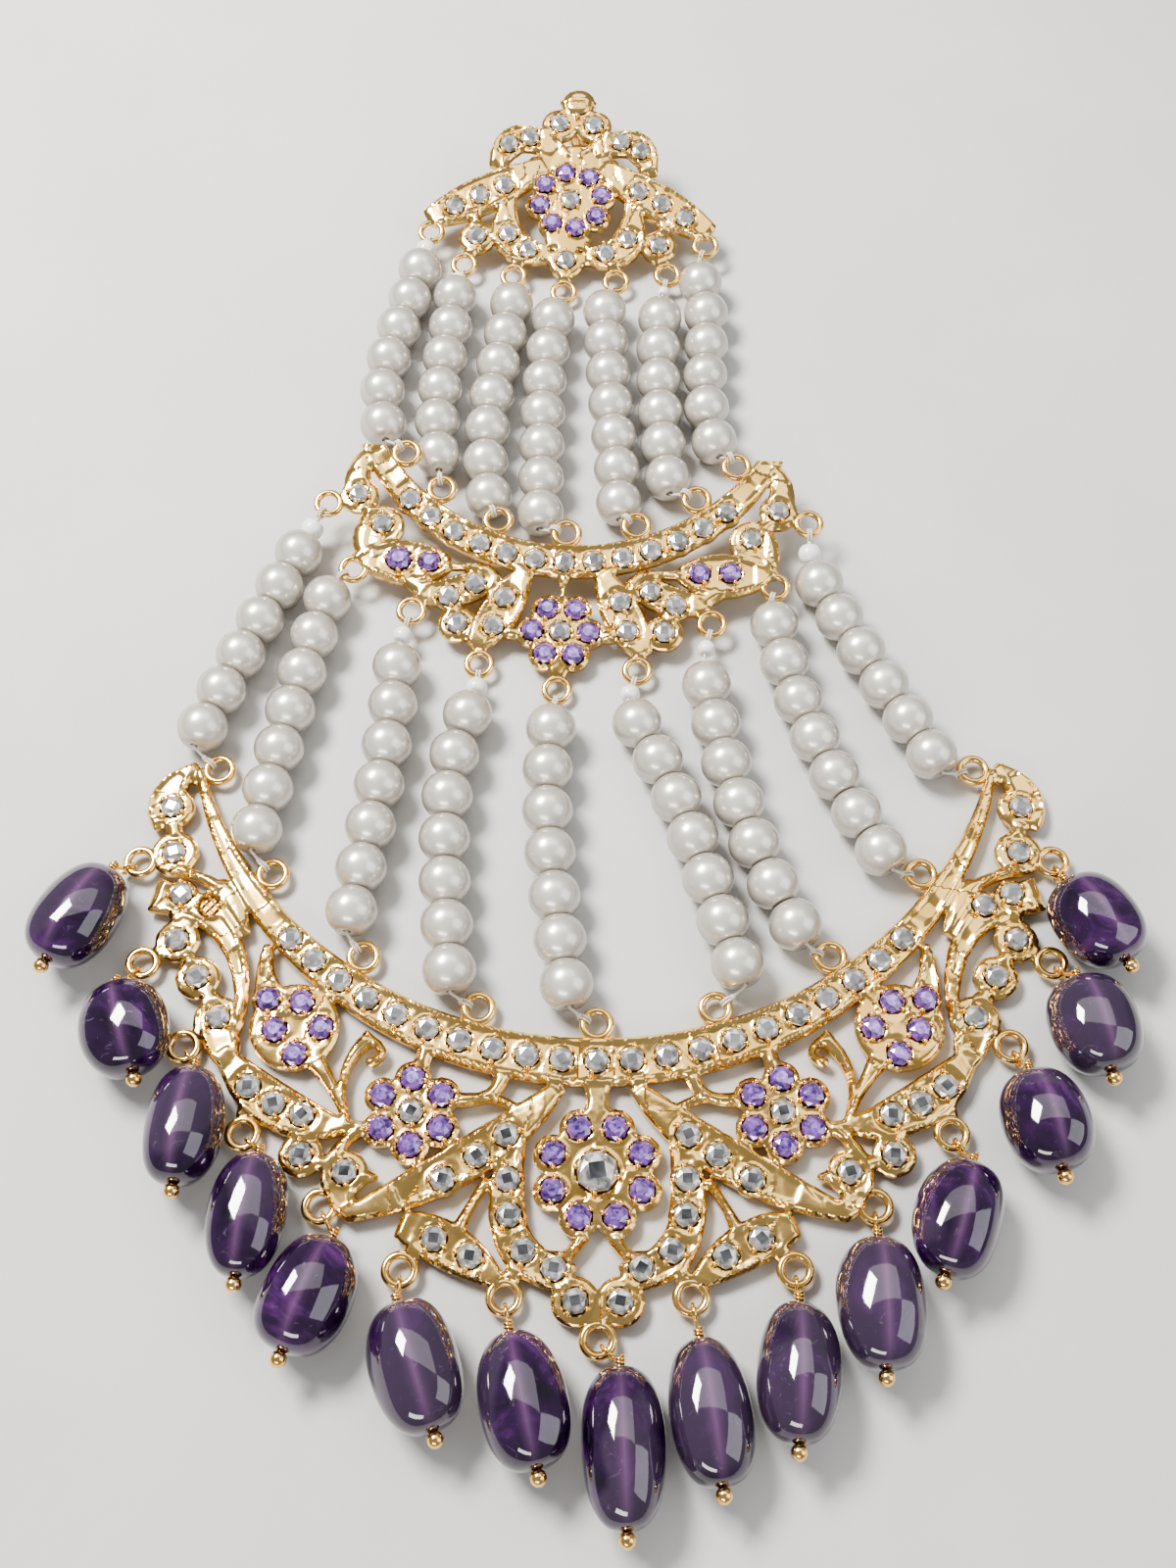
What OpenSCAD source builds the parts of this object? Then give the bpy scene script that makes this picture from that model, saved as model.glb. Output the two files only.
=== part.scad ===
// Passa jhoomar headpiece, lying flat: three pierced plates set with stones, joined by strings of
// pearls, with amethyst drops along the lowest plate. X runs across the headpiece, Y from the drops
// up to the bail, Z up from the surface that it lies on. Millimetres.

/* [Cast plates] */
// Thickness of a cast plate
plate_t = 0.9; // [0.8:0.05:1.1]
// Height of the raised edges and stone collars above a plate
rim_h = 0.35; // [0.2:0.05:0.5]
// Width of a raised edge
rim_w = 0.5; // [0.4:0.05:0.6]
// Radius of an eye ring, to the middle of its wire
eye_r = 1.4; // [1.4:0.05:1.5]
// Diameter of an eye ring's wire
eye_wire = 0.84; // [0.7:0.02:0.86]

/* [Stones] */
// Diameter of a small stone
stone_d = 2.4; // [2.1:0.1:2.5]
// Diameter of the stone in the middle of the lowest plate
big_stone_d = 4.0; // [3.4:0.1:4.2]
// Facets round a stone
stone_facets = 8; // [8:1:10]

/* [Pearls] */
// Diameter of a pearl
pearl_d = 5.5; // [5.2:0.1:5.6]
// Length of a pearl along its drill hole
pearl_l = 4.75; // [4.6:0.05:4.75]
// Diameter of the drill hole
pearl_bore = 1.0; // [0.9:0.05:1.1]
// Space between two pearls on a string
pearl_gap = 0.1; // [0.1:0.01:0.12]
// Diameter of the thread
thread_d = 0.3; // [0.24:0.02:0.32]

/* [Amethyst drops] */
// Angle by which a lying drop's free end is raised
drop_rise = 8; // [4:1:10]
// Diameter of the drill hole
drop_bore = 0.9; // [0.8:0.05:1.0]
// Diameter of the wire of a head pin
pin_wire = 0.5; // [0.44:0.02:0.52]
// Diameter of the ball on a head pin's end
pin_ball = 1.6; // [1.3:0.1:1.8]

/* [Bail] */
// Inside radius of the bail
bail_r = 2.6; // [2.4:0.05:2.7]
// Width of the bail's strip
bail_w = 2.4; // [2.0:0.1:2.5]
// Thickness of the bail's strip
bail_t = 0.7; // [0.6:0.05:0.7]

/* [Hidden] */
$fn = 48;
UPPER_STRINGS = 7;
LOWER_STRINGS = 9;
DROPS = 15;

GOLD = "goldenrod";
PEARL = "ivory";
VIOLET = "mediumpurple";
CLEAR = "lightsteelblue";
AMETHYST = "indigo";
THREAD = "white";

// Shift that brings the middle of the headpiece over the origin
centre_shift = [0.26, -12.6, 0];
// A plate's own frame has its face at z = 0. Columns: origin, tilt about X, turn about Z
TOP = [[-2.2, 81.4, 4.65], 13, -4];
MIDDLE = [[-3.1, 17.8, 2.6], 8, -3];
LOWER = [[0.9, -42.5, 1.7], 0, 0];

eye_hole = eye_r - eye_wire / 2;
// Depth of an eye's middle below the plate's face
eye_drop = plate_t / 2;
// Size of the flat eyes along the lower edges of the top and middle plates
washer_r = 1.75;
washer_t = 0.6;
// Tongue of metal that holds an eye: its width, and its length from the rim of the eye
root_w = 1.6;
root_l = 1.7;
// Step from a plate's outline to its raised edge
rim_inset = 0.13;
// Room between a stone and the metal round it, and the metal's width there
stone_gap = 0.1;
collar_w = 0.3;
seat_depth = 0.55;
// Places of a stone's culet, girdle and table above the plate's face, and the table's share of it
culet_z = -0.4;
girdle_z = [0.05, 0.2];
table_z = 0.55;
table_share = 0.55;

// Crescents. Columns: outer radius, its middle's y, inner radius, its middle's y, y of the horns' end
LOWER_CRESCENT = [44, 52.5, 44.6, 58, 43.6];
MIDDLE_CRESCENT = [27, 33.9, 25.5, 36.4, 22.9];
// Stones along a crescent. Columns: radius, its middle's y, step angle, stones each side of the middle
LOWER_ROW = [44.4, 55.4, 4.48, 10];
MIDDLE_ROW = [26.6, 35.2, 7.17, 6];
// Flowers. Columns: x, y, petals, radius to the petals' stones, angle of the first, petal r, middle r
LOWER_FLOWER = [0, 0, 8, 4.6, 22.5, 1.95, 4.3];
SIDE_FLOWER = [18.1, 5.9, 6, 3.3, 30, 1.85, 3];
MIDDLE_FLOWER = [0, 0, 6, 3.15, 0, 1.85, 2.7];
TOP_FLOWER = [0, 0, 8, 4, 13, 1.8, 3.8];
// The top plate's round frame. Columns: middle's y, outer radius, inner radius
TOP_FRAME = [-0.6, 8.7, 6.9];

// Leaves and stems of the lowest plate's right half. Columns: start x, y, middle x, y, end x, y,
// width at the start, middle and end
LOWER_BLADES = [
    [31, 15.5, 33.3, 18.8, 33.5, 23.4, 5, 2.6, 1],
    [24.2, 4.6, 25.7, 7.8, 28, 11.4, 0.9, 1, 2.2],
    [24.3, 4.6, 24.9, 9.8, 22.3, 13.7, 1, 0.9, 1.8],
    [23, 13.6, 21.3, 12.1, 22.4, 10.9, 0.9, 0.8, 0.9],
    [23.6, 4.4, 31.5, 6.6, 37.4, 12.6, 0.8, 4.6, 1.2],
    [36.2, 10.4, 37.5, 13.6, 38.9, 18, 1.4, 3.6, 1.6],
    [35.8, 14.6, 37.9, 24.4, 46, 29, 0.9, 2.5, 3.8],
    [37.6, 28.6, 41, 30.8, 44.8, 31.8, 1.8, 1.1, 1.4],
    [36, 24.5, 37.9, 28.4, 39.6, 30.2, 1, 2.4, 1.4],
    [44.4, 35.4, 44.6, 36.3, 44.9, 37.2, 1.8, 1.6, 2.2],
    [45.2, 37, 45.7, 40.6, 43, 44.2, 3.4, 3.6, 0.8],
    [43, 25.8, 43.3, 27, 43.4, 28.4, 1.8, 1.6, 2],
    [42.2, 22.6, 41.6, 21.8, 41, 20.9, 1.6, 1.6, 1.6],
    [39.6, 18.5, 39, 17.7, 38.6, 16.8, 1.8, 1.6, 1.8],
    [29, 4.8, 28.8, 3.6, 28.6, 2.6, 1.6, 1.6, 1.6],
    [27.2, 1.1, 26.3, 0.9, 25.6, 0.6, 1.6, 1.6, 1.8],
    [24.6, 1.6, 24.7, -1.6, 23.2, -4.3, 2.6, 3.2, 1.2],
    [21, -0.4, 22.6, -0.3, 24.2, 0, 0.4, 1.6, 3],
    [22.4, 4.4, 24.2, 3.2, 25.6, 1.2, 1.2, 1.1, 1.4],
    [20.8, 4.2, 22.6, 4.4, 24.6, 4.7, 1.8, 1.3, 1],
    [3.6, 8.6, 12.5, 1.3, 24, -4.1, 1.4, 4.2, 1.4],
    [7.2, 6, 8.6, -0.6, 8.3, -5, 1.2, 3.1, 3.6],
    [8.5, -4, 6.8, -7.9, 2.2, -9.9, 3.2, 3.6, 2.6],
    [9.4, 9.9, 10.7, 7.6, 14.4, 7.2, 1.8, 1.2, 1.6],
    [7.4, 6, 9, 6.9, 11, 7.4, 0.8, 0.9, 1],
    [17.5, 10.2, 17.2, 11.3, 16.9, 12.6, 1.8, 1.6, 2],
    [9, -10.4, 13.7, -7.1, 18.8, -4.8, 1.2, 4.3, 2.6],
    [10.4, -0.6, 12.1, -3.2, 13.4, -6, 1.2, 0.9, 1.6],
    [1.4, -5.8, 2.4, -7.3, 3.8, -8.6, 1.6, 1.1, 1.6]
];
// Round petals of the same half. Columns: x, y, radius
LOWER_DISCS = [
    [30.2, 14.6, 4.5], [37.9, 15.3, 2.5], [44.3, 33.6, 2.5], [45.1, 38.9, 2.35], [42.9, 23.8, 2.3],
    [40.4, 19.8, 2.25], [28.6, 1.7, 2.15], [24.2, 0, 2.2], [22.4, 11, 0.5], [2.1, -12, 2.3]
];
// Clear stones of the same half, besides the crescent's. Columns: x, y
LOWER_CLEAR = [
    [45.1, 38.9], [44.3, 33.6], [43, 28.9], [40, 27.6], [42.9, 23.8], [40.4, 19.8], [37.9, 15.5],
    [34.2, 8.4], [31.6, 6.7], [28.7, 5.6], [28.6, 1.7], [24.2, 0], [8.8, 3.6], [11.6, 1.6], [14.8, -0.7],
    [8.6, -0.7], [8.4, -4.1], [7, -7.4], [4.1, -9], [12, -7.9], [15.4, -6.3], [2.1, -12]
];
// Violet stones of the leaf. Columns: x, y
LOWER_VIOLET = [[33, 17.4], [29.6, 17.1], [32.1, 14.2], [27.5, 14.4], [29.9, 11.7]];
// Eyes for the drops, from the middle outwards. Columns: x, y, direction of the metal that holds it
LOWER_DROP_EYES = [
    [8.7, -11.6, 110], [18.5, -9.1, 128], [26.4, -3.2, 139], [34.4, 3.8, 92],
    [41.1, 12.6, 139], [46.2, 21.4, 144], [47.8, 32.7, 165]
];
LOWER_MIDDLE_EYE = [0, -15.4, 90];
// Angles of the eyes along the inside of a crescent, from the middle outwards
LOWER_STRING_ANGLES = [0, 16, 33.5, 51.7, 70.4];
MIDDLE_STRING_ANGLES = [0, 19.3, 37.8, 53];

MIDDLE_BLADES = [
    [22.7, 22.6, 24.3, 20.2, 24.3, 16.8, 0.8, 2.4, 3.2],
    [21.6, 14.8, 23.2, 11.5, 22.6, 8.2, 1, 2.2, 1.6],
    [23.6, 15, 23, 14.4, 22.2, 13.6, 1.6, 1.4, 1.6],
    [12.9, 7.9, 18, 7.9, 24.2, 8.2, 1.6, 5.4, 1],
    [9.3, 7.5, 11.5, 7.7, 13.8, 7.8, 1.6, 0.8, 1.2],
    [7.8, 7.4, 11.4, 4.8, 16.8, 4.2, 2.2, 3.7, 1.8],
    [15.2, 4.4, 16.4, 5, 17.6, 6, 1.8, 1.8, 2],
    [12.6, 3, 12.2, 2.2, 11.9, 1.4, 1.8, 1.8, 1.8],
    [4.2, 7.8, 7, 2.2, 9.6, -2.4, 1.6, 4.6, 1.6],
    [8.8, 0.2, 9.8, 0.3, 10.6, 0.4, 1.6, 1.5, 1.6],
    [4, -0.2, 5, -0.3, 6, -0.2, 1.6, 1.4, 1.6]
];
MIDDLE_DISCS = [[24.1, 16.2, 2.2], [21.2, 12.3, 2.6], [11.6, 0.5, 2.15]];
MIDDLE_CLEAR = [[24.1, 16.2], [21.1, 12.5], [9.9, 5.4], [12.8, 3.8], [11.6, 0.5], [6.5, 3.9], [7.5, 0.4]];
MIDDLE_VIOLET = [[15.3, 7.9], [18.8, 8.1]];
MIDDLE_DROP_EYES = [[8.8, -4.2, 88], [16.9, 1.9, 128], [23.9, 6.8, 145], [27.6, 15, 163]];
MIDDLE_MIDDLE_EYE = [0, -6.9, 90];

TOP_BLADES = [
    [3.2, 5.3, 11.2, 0.5, 18.2, -3.5, 2, 5.3, 2.4],
    [0.4, 6.2, 2.4, 8.1, 4.7, 9.9, 1.2, 1.5, 2],
    [2.2, 6.7, 7.4, 8.9, 9.9, 4.4, 1.4, 4, 2],
    [8.6, -0.6, 7.4, -6.1, 2.6, -7.6, 0.6, 3.9, 2.4],
    [11.8, -4, 12, -3.4, 12.4, -2.4, 1.8, 1.6, 2],
    [10, -5.6, 9.4, -5.5, 8.6, -5.4, 1.5, 1.4, 1.6],
    [3.2, 10.4, 3.8, 10, 4.8, 9.4, 1.6, 1.6, 2]
];
TOP_DISCS = [[2.2, 11.1, 2.3], [11.6, -5.8, 2.25]];
TOP_CLEAR = [
    [2.2, 11.1], [5.9, 8.8], [8.5, 7.7], [8.6, 1.7], [11.7, 0.1], [14.7, -1.7], [7.6, -5.2],
    [11.6, -5.8], [4.9, -7.3]
];
TOP_MIDDLE_CLEAR = [[0, 0], [0, -8.6]];
TOP_DROP_EYES = [[6.5, -11, 100], [12.9, -9.7, 110], [17.5, -5.3, 105]];
TOP_MIDDLE_EYE = [0, -12.9, 90];
// Shapes of the plates that cross the middle. Columns as for the leaves and the round petals
LOWER_MIDDLE_BLADES = [[0, 5, 0, 7.3, 0, 9.5, 3.4, 2.2, 3.8]];
LOWER_MIDDLE_DISCS = [[0, -13.1, 1.5]];
MIDDLE_MIDDLE_BLADES = [[0, 4.2, 0, 5.5, 0, 7.4, 0.8, 0.7, 1.6], [0, -3, 0, -4, 0, -5.2, 3.4, 2.6, 1.8]];
TOP_MIDDLE_BLADES = [
    [-3.2, 5.7, 0, 5.4, 3.2, 5.7, 2, 2.2, 2],
    [-2.8, -6.1, 0, -5.6, 2.8, -6.1, 2, 2.2, 2],
    [0, 12.4, 0, 13.8, 0, 15.2, 2.6, 3, 3]
];
TOP_MIDDLE_DISCS = [[0, -8.7, 2.2], [0, 11.9, 1.5], [0, 14.4, 2.1]];

// Pearl strings, left to right. Columns: first pearl's x, y, pearls, heading at the start, middle
// and end, in degrees from straight down the headpiece towards +X
UPPER_TABLE = [
    [-21.2, 71.4, 6, -10, -12, 10],
    [-16.6, 66.9, 6, -4, -5, 6],
    [-9.5, 65.7, 7, -7, -7, 9],
    [-4.3, 63.2, 7, -9, -1, -1],
    [2.1, 64.5, 7, 0, 4, 2],
    [8.9, 63.4, 6, -4, 1, 6],
    [14.1, 69.2, 6, 11, -4, 14]
];
LOWER_TABLE = [
    [-33.1, 28.3, 6, -22, -21, -18],
    [-29.4, 22, 7, -14, -10, -9],
    [-21.1, 13.2, 7, -1, -7, -8],
    [-13.1, 7.1, 7, -18, 1, 5],
    [-4, 5.4, 7, -6, 5, 8],
    [5.3, 6, 7, 28, 18, 16],
    [13, 10.8, 7, 9, 15, 27],
    [20.8, 18.6, 7, 8, 20, 28],
    [26.2, 24.1, 6, 22, 27, 26]
];
// Drops, left to right. Columns: middle's x, y, turn of the axis from straight down towards +X,
// length, width, thickness, and how much fuller the free end is
DROP_TABLE = [
    [-51.8, -16.8, -24, 11.8, 9, 7.6, 0.05],
    [-45.5, -28.9, 18, 10.2, 9, 7.6, 0],
    [-38.7, -38.5, -2, 12, 8, 7.4, 0.05],
    [-31.9, -47, -4, 12, 7.6, 7, -0.05],
    [-25.7, -54.2, -19, 11.2, 8.8, 7.4, 0.05],
    [-15.5, -60.5, 19, 12.2, 8.6, 7.4, 0],
    [-5.8, -63.3, 13, 12.4, 8.2, 7.2, 0.1],
    [3.1, -67.3, 2, 14, 8, 7.4, -0.05],
    [10.9, -64.3, 7, 13, 7.8, 7.2, 0.05],
    [18.9, -61, -4, 12.6, 7.9, 7.4, 0.05],
    [26.8, -55, -2, 12.2, 8.6, 7.4, 0],
    [34.6, -47.3, -20, 11.6, 8.6, 7.2, 0],
    [43.9, -38, 9, 10.4, 8.9, 7.6, 0.05],
    [49.8, -28.5, 9, 10.4, 9, 7.8, 0],
    [51.5, -17.5, 26, 10.4, 9, 7.8, 0]
];

// Loops of thread and of pin wire round an eye's rim, to the middle of the wire
thread_loop_r = 0.7;
pin_loop_r = 0.78;
// A thread's loop: steps round it, and the angle of each; it stops short of the thread's own length
loop_steps = 8;
loop_step = 40;
thread_sides = 6;
// How far outside a drill hole a thread bends or a head pin's wraps begin
mouth_step = 0.15;
// The wrapped part of a head pin below its loop
wrap_r = 0.55;
wrap_l = 0.8;
neck_share = 0.9;
// Facets of a drop: round it and along it
drop_sides = 12;
drop_rings = 8;
// The raised lobe at the top plate's upper end, and the bar below it that carries the bail
lobe_r = 1.5;
keeper_y = 14.5;
keeper_x = 1.75;
keeper_depth = 2.15;
keeper_post_r = 0.4;
keeper_bar_r = 0.33;
bail_turn = -12;

// Curve through three values, at share t of the way
function quad(a, b, c, t) = a * (1 - t) * (1 - 2 * t) + b * 4 * t * (1 - t) + c * t * (2 * t - 1);
function unit(v) = v / norm(v);
function mirrored(half, middle) = concat(
    [for (i = [len(half) - 1 : -1 : 0]) [-half[i][0], half[i][1], 180 - half[i][2]]], [middle], half);

// A point of a plate's own frame, in the headpiece's frame
function on_plate(plate, p) =
    let (tilt = plate[1], turn = plate[2],
        y = p[1] * cos(tilt) - p[2] * sin(tilt),
        z = p[1] * sin(tilt) + p[2] * cos(tilt))
    plate[0] + [p[0] * cos(turn) - y * sin(turn), p[0] * sin(turn) + y * cos(turn), z];

// Outline of a leaf or stem row between two shares of its length, less a margin at each side
function blade_outline(row, margin, from, to) =
    let (steps = 8,
        a = [row[0], row[1]], b = [row[2], row[3]], c = [row[4], row[5]],
        share = [for (i = [0 : steps]) from + (to - from) * i / steps],
        at = [for (t = share) quad(a, b, c, t)],
        side = [for (i = [0 : steps])
            let (d = unit(at[min(i + 1, steps)] - at[max(i - 1, 0)])) [-d[1], d[0]]],
        half = [for (t = share) max(quad(row[6], row[7], row[8], t) / 2 - margin, 0.1)])
    concat([for (i = [0 : steps]) at[i] + side[i] * half[i]],
        [for (i = [steps : -1 : 0]) at[i] - side[i] * half[i]]);

// Eyes along the inside of a crescent: x, y and the direction of the metal that holds each
function string_eyes(crescent, angles) =
    [for (a = angles)
        let (r = crescent[2] - eye_r - 0.1) [r * sin(a), crescent[3] - r * cos(a), a - 90]];
function half_eyes(crescent, angles) =
    [for (i = [1 : len(angles) - 1]) string_eyes(crescent, angles)[i]];
function row_stones(row) =
    [for (i = [-row[3] : row[3]]) [row[0] * sin(i * row[2]), row[1] - row[0] * cos(i * row[2])]];
function petals(flower) =
    [for (i = [0 : flower[2] - 1])
        let (a = flower[4] + i * 360 / flower[2])
        [flower[0] + flower[3] * cos(a), flower[1] + flower[3] * sin(a)]];

TOP_EYES = mirrored(TOP_DROP_EYES, TOP_MIDDLE_EYE);
MIDDLE_TOP_EYES = mirrored(half_eyes(MIDDLE_CRESCENT, MIDDLE_STRING_ANGLES),
    string_eyes(MIDDLE_CRESCENT, MIDDLE_STRING_ANGLES)[0]);
MIDDLE_EYES = mirrored(MIDDLE_DROP_EYES, MIDDLE_MIDDLE_EYE);
LOWER_TOP_EYES = mirrored(half_eyes(LOWER_CRESCENT, LOWER_STRING_ANGLES),
    string_eyes(LOWER_CRESCENT, LOWER_STRING_ANGLES)[0]);
LOWER_EYES = mirrored(LOWER_DROP_EYES, LOWER_MIDDLE_EYE);
function eye_at(plate, eye) = on_plate(plate, [eye[0], eye[1], -eye_drop]);

// Pearls of a string: heading of each, then the middle of each
flat_r = sqrt(pow(pearl_d / 2, 2) - pow(pearl_l / 2, 2));
function headings(row) = [for (i = [0 : row[2] - 1]) quad(row[3], row[4], row[5], i / (row[2] - 1))];
function heading_dir(a) = [sin(a), -cos(a), 0];
function pearl_step(a, b) =
    (pearl_l + pearl_gap + 2 * flat_r * tan(abs(b - a) / 2)) * heading_dir((a + b) / 2);
function pearl_centres(row, h, i = 0, at = undef) =
    let (p = i == 0 ? [row[0], row[1], pearl_d / 2] : at)
    i == row[2] - 1 ? [p] : concat([p], pearl_centres(row, h, i + 1, p + pearl_step(h[i], h[i + 1])));

// Middle of a plate's eye rim, on the side towards a point
function rim_towards(plate, eye, p) =
    let (at = eye_at(plate, eye), d = unit([p[0] - at[0], p[1] - at[1]]), turn = plate[2],
        rise = tan(plate[1]) * (d[1] * cos(turn) - d[0] * sin(turn)))
    at + eye_r * unit([d[0], d[1], rise]);

module both_sides() {
    children();
    mirror([1, 0, 0]) children();
}

module on(plate) {
    translate(centre_shift + plate[0]) rotate([plate[1], 0, plate[2]]) children();
}

// Puts the children's Z axis on the line from a to b
module along(a, b) {
    d = b - a;
    translate(a) rotate([0, acos(d[2] / norm(d)), atan2(d[1], d[0])]) children();
}

module blade(row, margin = 0, from = 0, to = 1) {
    polygon(blade_outline(row, margin, from, to));
}

module crescent(c, margin = 0) {
    intersection() {
        difference() {
            translate([0, c[1]]) circle(c[0] - margin, $fn = 96);
            translate([0, c[3]]) circle(c[2] + margin, $fn = 96);
        }
        translate([-c[0], -c[0]]) square([2 * c[0], c[0] + c[4] - margin]);
    }
}

module flower(f) {
    translate([f[0], f[1]]) circle(f[6]);
    for (p = petals(f)) translate(p) circle(f[5]);
}

// Metal that joins an eye's rim to the plate
module eye_roots(eyes) {
    for (e = eyes) translate([e[0], e[1]]) rotate(e[2])
        translate([eye_r, -root_w / 2]) square([root_l, root_w]);
}

module seats(places, d, depth = seat_depth) {
    for (p = places) translate([p[0], p[1], -depth])
        cylinder(h = depth + rim_h + 1, d = d + 2 * stone_gap);
}

module collars(places, d) {
    for (p = places) translate([p[0], p[1]]) circle(d / 2 + stone_gap + collar_w);
}

module round_eyes(eyes) {
    for (e = eyes) translate([e[0], e[1], -eye_drop])
        rotate_extrude() translate([eye_r, 0]) circle(d = eye_wire, $fn = 24);
}

module flat_eyes(eyes) {
    for (e = eyes) translate([e[0], e[1], -eye_drop - washer_t / 2])
        cylinder(h = washer_t, r = washer_r);
}

module eye_holes(eyes) {
    for (e = eyes) translate([e[0], e[1], -plate_t - 1]) cylinder(h = plate_t + 3, r = eye_hole);
}

// A wide leaf has a raised edge, and a narrow stem a raised ridge
module blade_relief(row) {
    if (row[7] > 2.4) {
        difference() {
            blade(row, rim_inset, 0.03, 0.97);
            blade(row, rim_inset + rim_w, 0.25, 0.8);
        }
    } else {
        blade(row, row[7] / 4, 0.06, 0.94);
    }
}

module crescent_relief(c) {
    difference() {
        crescent(c, rim_inset);
        crescent(c, rim_inset + rim_w);
    }
}

// A plate's flat metal with its raised work on top; the children are its outline and its relief
module casting() {
    translate([0, 0, -plate_t]) linear_extrude(plate_t) children(0);
    translate([0, 0, -plate_t / 4]) linear_extrude(rim_h + plate_t / 4) children(1);
}

module lower_plate() {
    stones = concat(LOWER_CLEAR, LOWER_VIOLET, petals(SIDE_FLOWER), [[SIDE_FLOWER[0], SIDE_FLOWER[1]]]);
    middle_stones = concat(row_stones(LOWER_ROW), petals(LOWER_FLOWER));
    color(GOLD) on(LOWER) difference() {
        union() {
            casting() {
                union() {
                    crescent(LOWER_CRESCENT);
                    flower(LOWER_FLOWER);
                    for (row = LOWER_MIDDLE_BLADES) blade(row);
                    for (row = LOWER_MIDDLE_DISCS) translate([row[0], row[1]]) circle(row[2]);
                    eye_roots(concat(LOWER_EYES, LOWER_TOP_EYES));
                    both_sides() {
                        flower(SIDE_FLOWER);
                        for (row = LOWER_BLADES) blade(row);
                        for (row = LOWER_DISCS) translate([row[0], row[1]]) circle(row[2]);
                    }
                }
                union() {
                    crescent_relief(LOWER_CRESCENT);
                    collars(middle_stones, stone_d);
                    collars([[0, 0]], big_stone_d);
                    both_sides() {
                        for (row = LOWER_BLADES) blade_relief(row);
                        collars(stones, stone_d);
                    }
                }
            }
            round_eyes(concat(LOWER_EYES, LOWER_TOP_EYES));
        }
        seats(middle_stones, stone_d);
        seats([[0, 0]], big_stone_d);
        both_sides() seats(stones, stone_d);
        eye_holes(concat(LOWER_EYES, LOWER_TOP_EYES));
    }
}

module middle_plate() {
    stones = concat(MIDDLE_CLEAR, MIDDLE_VIOLET);
    middle_stones = concat(row_stones(MIDDLE_ROW), petals(MIDDLE_FLOWER), [[0, 0]]);
    color(GOLD) on(MIDDLE) difference() {
        union() {
            casting() {
                union() {
                    crescent(MIDDLE_CRESCENT);
                    flower(MIDDLE_FLOWER);
                    for (row = MIDDLE_MIDDLE_BLADES) blade(row);
                    eye_roots(concat(MIDDLE_EYES, MIDDLE_TOP_EYES));
                    both_sides() {
                        for (row = MIDDLE_BLADES) blade(row);
                        for (row = MIDDLE_DISCS) translate([row[0], row[1]]) circle(row[2]);
                    }
                }
                union() {
                    crescent_relief(MIDDLE_CRESCENT);
                    collars(middle_stones, stone_d);
                    both_sides() {
                        for (row = MIDDLE_BLADES) blade_relief(row);
                        collars(stones, stone_d);
                    }
                }
            }
            round_eyes(MIDDLE_TOP_EYES);
            flat_eyes(MIDDLE_EYES);
        }
        seats(middle_stones, stone_d);
        both_sides() seats(stones, stone_d);
        eye_holes(concat(MIDDLE_EYES, MIDDLE_TOP_EYES));
    }
}

module top_plate() {
    middle_stones = concat(petals(TOP_FLOWER), TOP_MIDDLE_CLEAR);
    color(GOLD) on(TOP) {
        difference() {
            union() {
                casting() {
                    union() {
                        translate([0, TOP_FRAME[0]]) difference() {
                            circle(TOP_FRAME[1]);
                            circle(TOP_FRAME[2]);
                        }
                        flower(TOP_FLOWER);
                        for (row = TOP_MIDDLE_BLADES) blade(row);
                        for (row = TOP_MIDDLE_DISCS) translate([row[0], row[1]]) circle(row[2]);
                        eye_roots(TOP_EYES);
                        both_sides() {
                            for (row = TOP_BLADES) blade(row);
                            for (row = TOP_DISCS) translate([row[0], row[1]]) circle(row[2]);
                        }
                    }
                    union() {
                        translate([0, keeper_y]) circle(lobe_r);
                        collars(middle_stones, stone_d);
                        both_sides() {
                            for (row = TOP_BLADES) blade_relief(row);
                            collars(TOP_CLEAR, stone_d);
                        }
                    }
                }
                flat_eyes(TOP_EYES);
            }
            seats(middle_stones, stone_d);
            both_sides() seats(TOP_CLEAR, stone_d);
            eye_holes(TOP_EYES);
        }
        bail_keeper();
    }
}

// Two posts and a bar under the finial, through which the bail passes
module bail_keeper() {
    for (x = [-keeper_x, keeper_x])
        translate([x, keeper_y, -plate_t - keeper_depth - 0.5])
            cylinder(h = keeper_depth + 0.5 + plate_t / 2, r = keeper_post_r, $fn = 24);
    translate([-keeper_x - 0.6, keeper_y, -plate_t - keeper_depth]) rotate([0, 90, 0])
        cylinder(h = 2 * keeper_x + 1.2, r = keeper_bar_r, $fn = 24);
}

// Middle of the bail: it stands on its edge, with the keeper's bar inside it near the top
bail_bar = on_plate(TOP, [0, keeper_y, -plate_t - keeper_depth]);
bail_at = [bail_bar[0] + 0.2, bail_bar[1] + 1.2, bail_r + bail_t];

module bail() {
    color(GOLD) translate(centre_shift + bail_at) rotate([0, 90, bail_turn])
        rotate_extrude() translate([bail_r, -bail_w / 2]) square([bail_t, bail_w]);
}

// A cut stone: a table, a crown, a girdle and a pavilion
function ring_points(r, z, n) = [for (i = [0 : n - 1]) [r * cos(i * 360 / n), r * sin(i * 360 / n), z]];
module stone(d) {
    n = stone_facets;
    r = d / 2;
    deep = d / stone_d;
    points = concat(ring_points(r * table_share, table_z * deep, n), ring_points(r, girdle_z[1], n),
        ring_points(r, girdle_z[0], n), [[0, 0, culet_z]]);
    polyhedron(points, concat(
        [[for (i = [n - 1 : -1 : 0]) i]],
        [for (k = [0, 1], i = [0 : n - 1])
            [k * n + i, k * n + (i + 1) % n, (k + 1) * n + (i + 1) % n, (k + 1) * n + i]],
        [for (i = [0 : n - 1]) [2 * n + i, 2 * n + (i + 1) % n, 3 * n]]));
}

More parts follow.
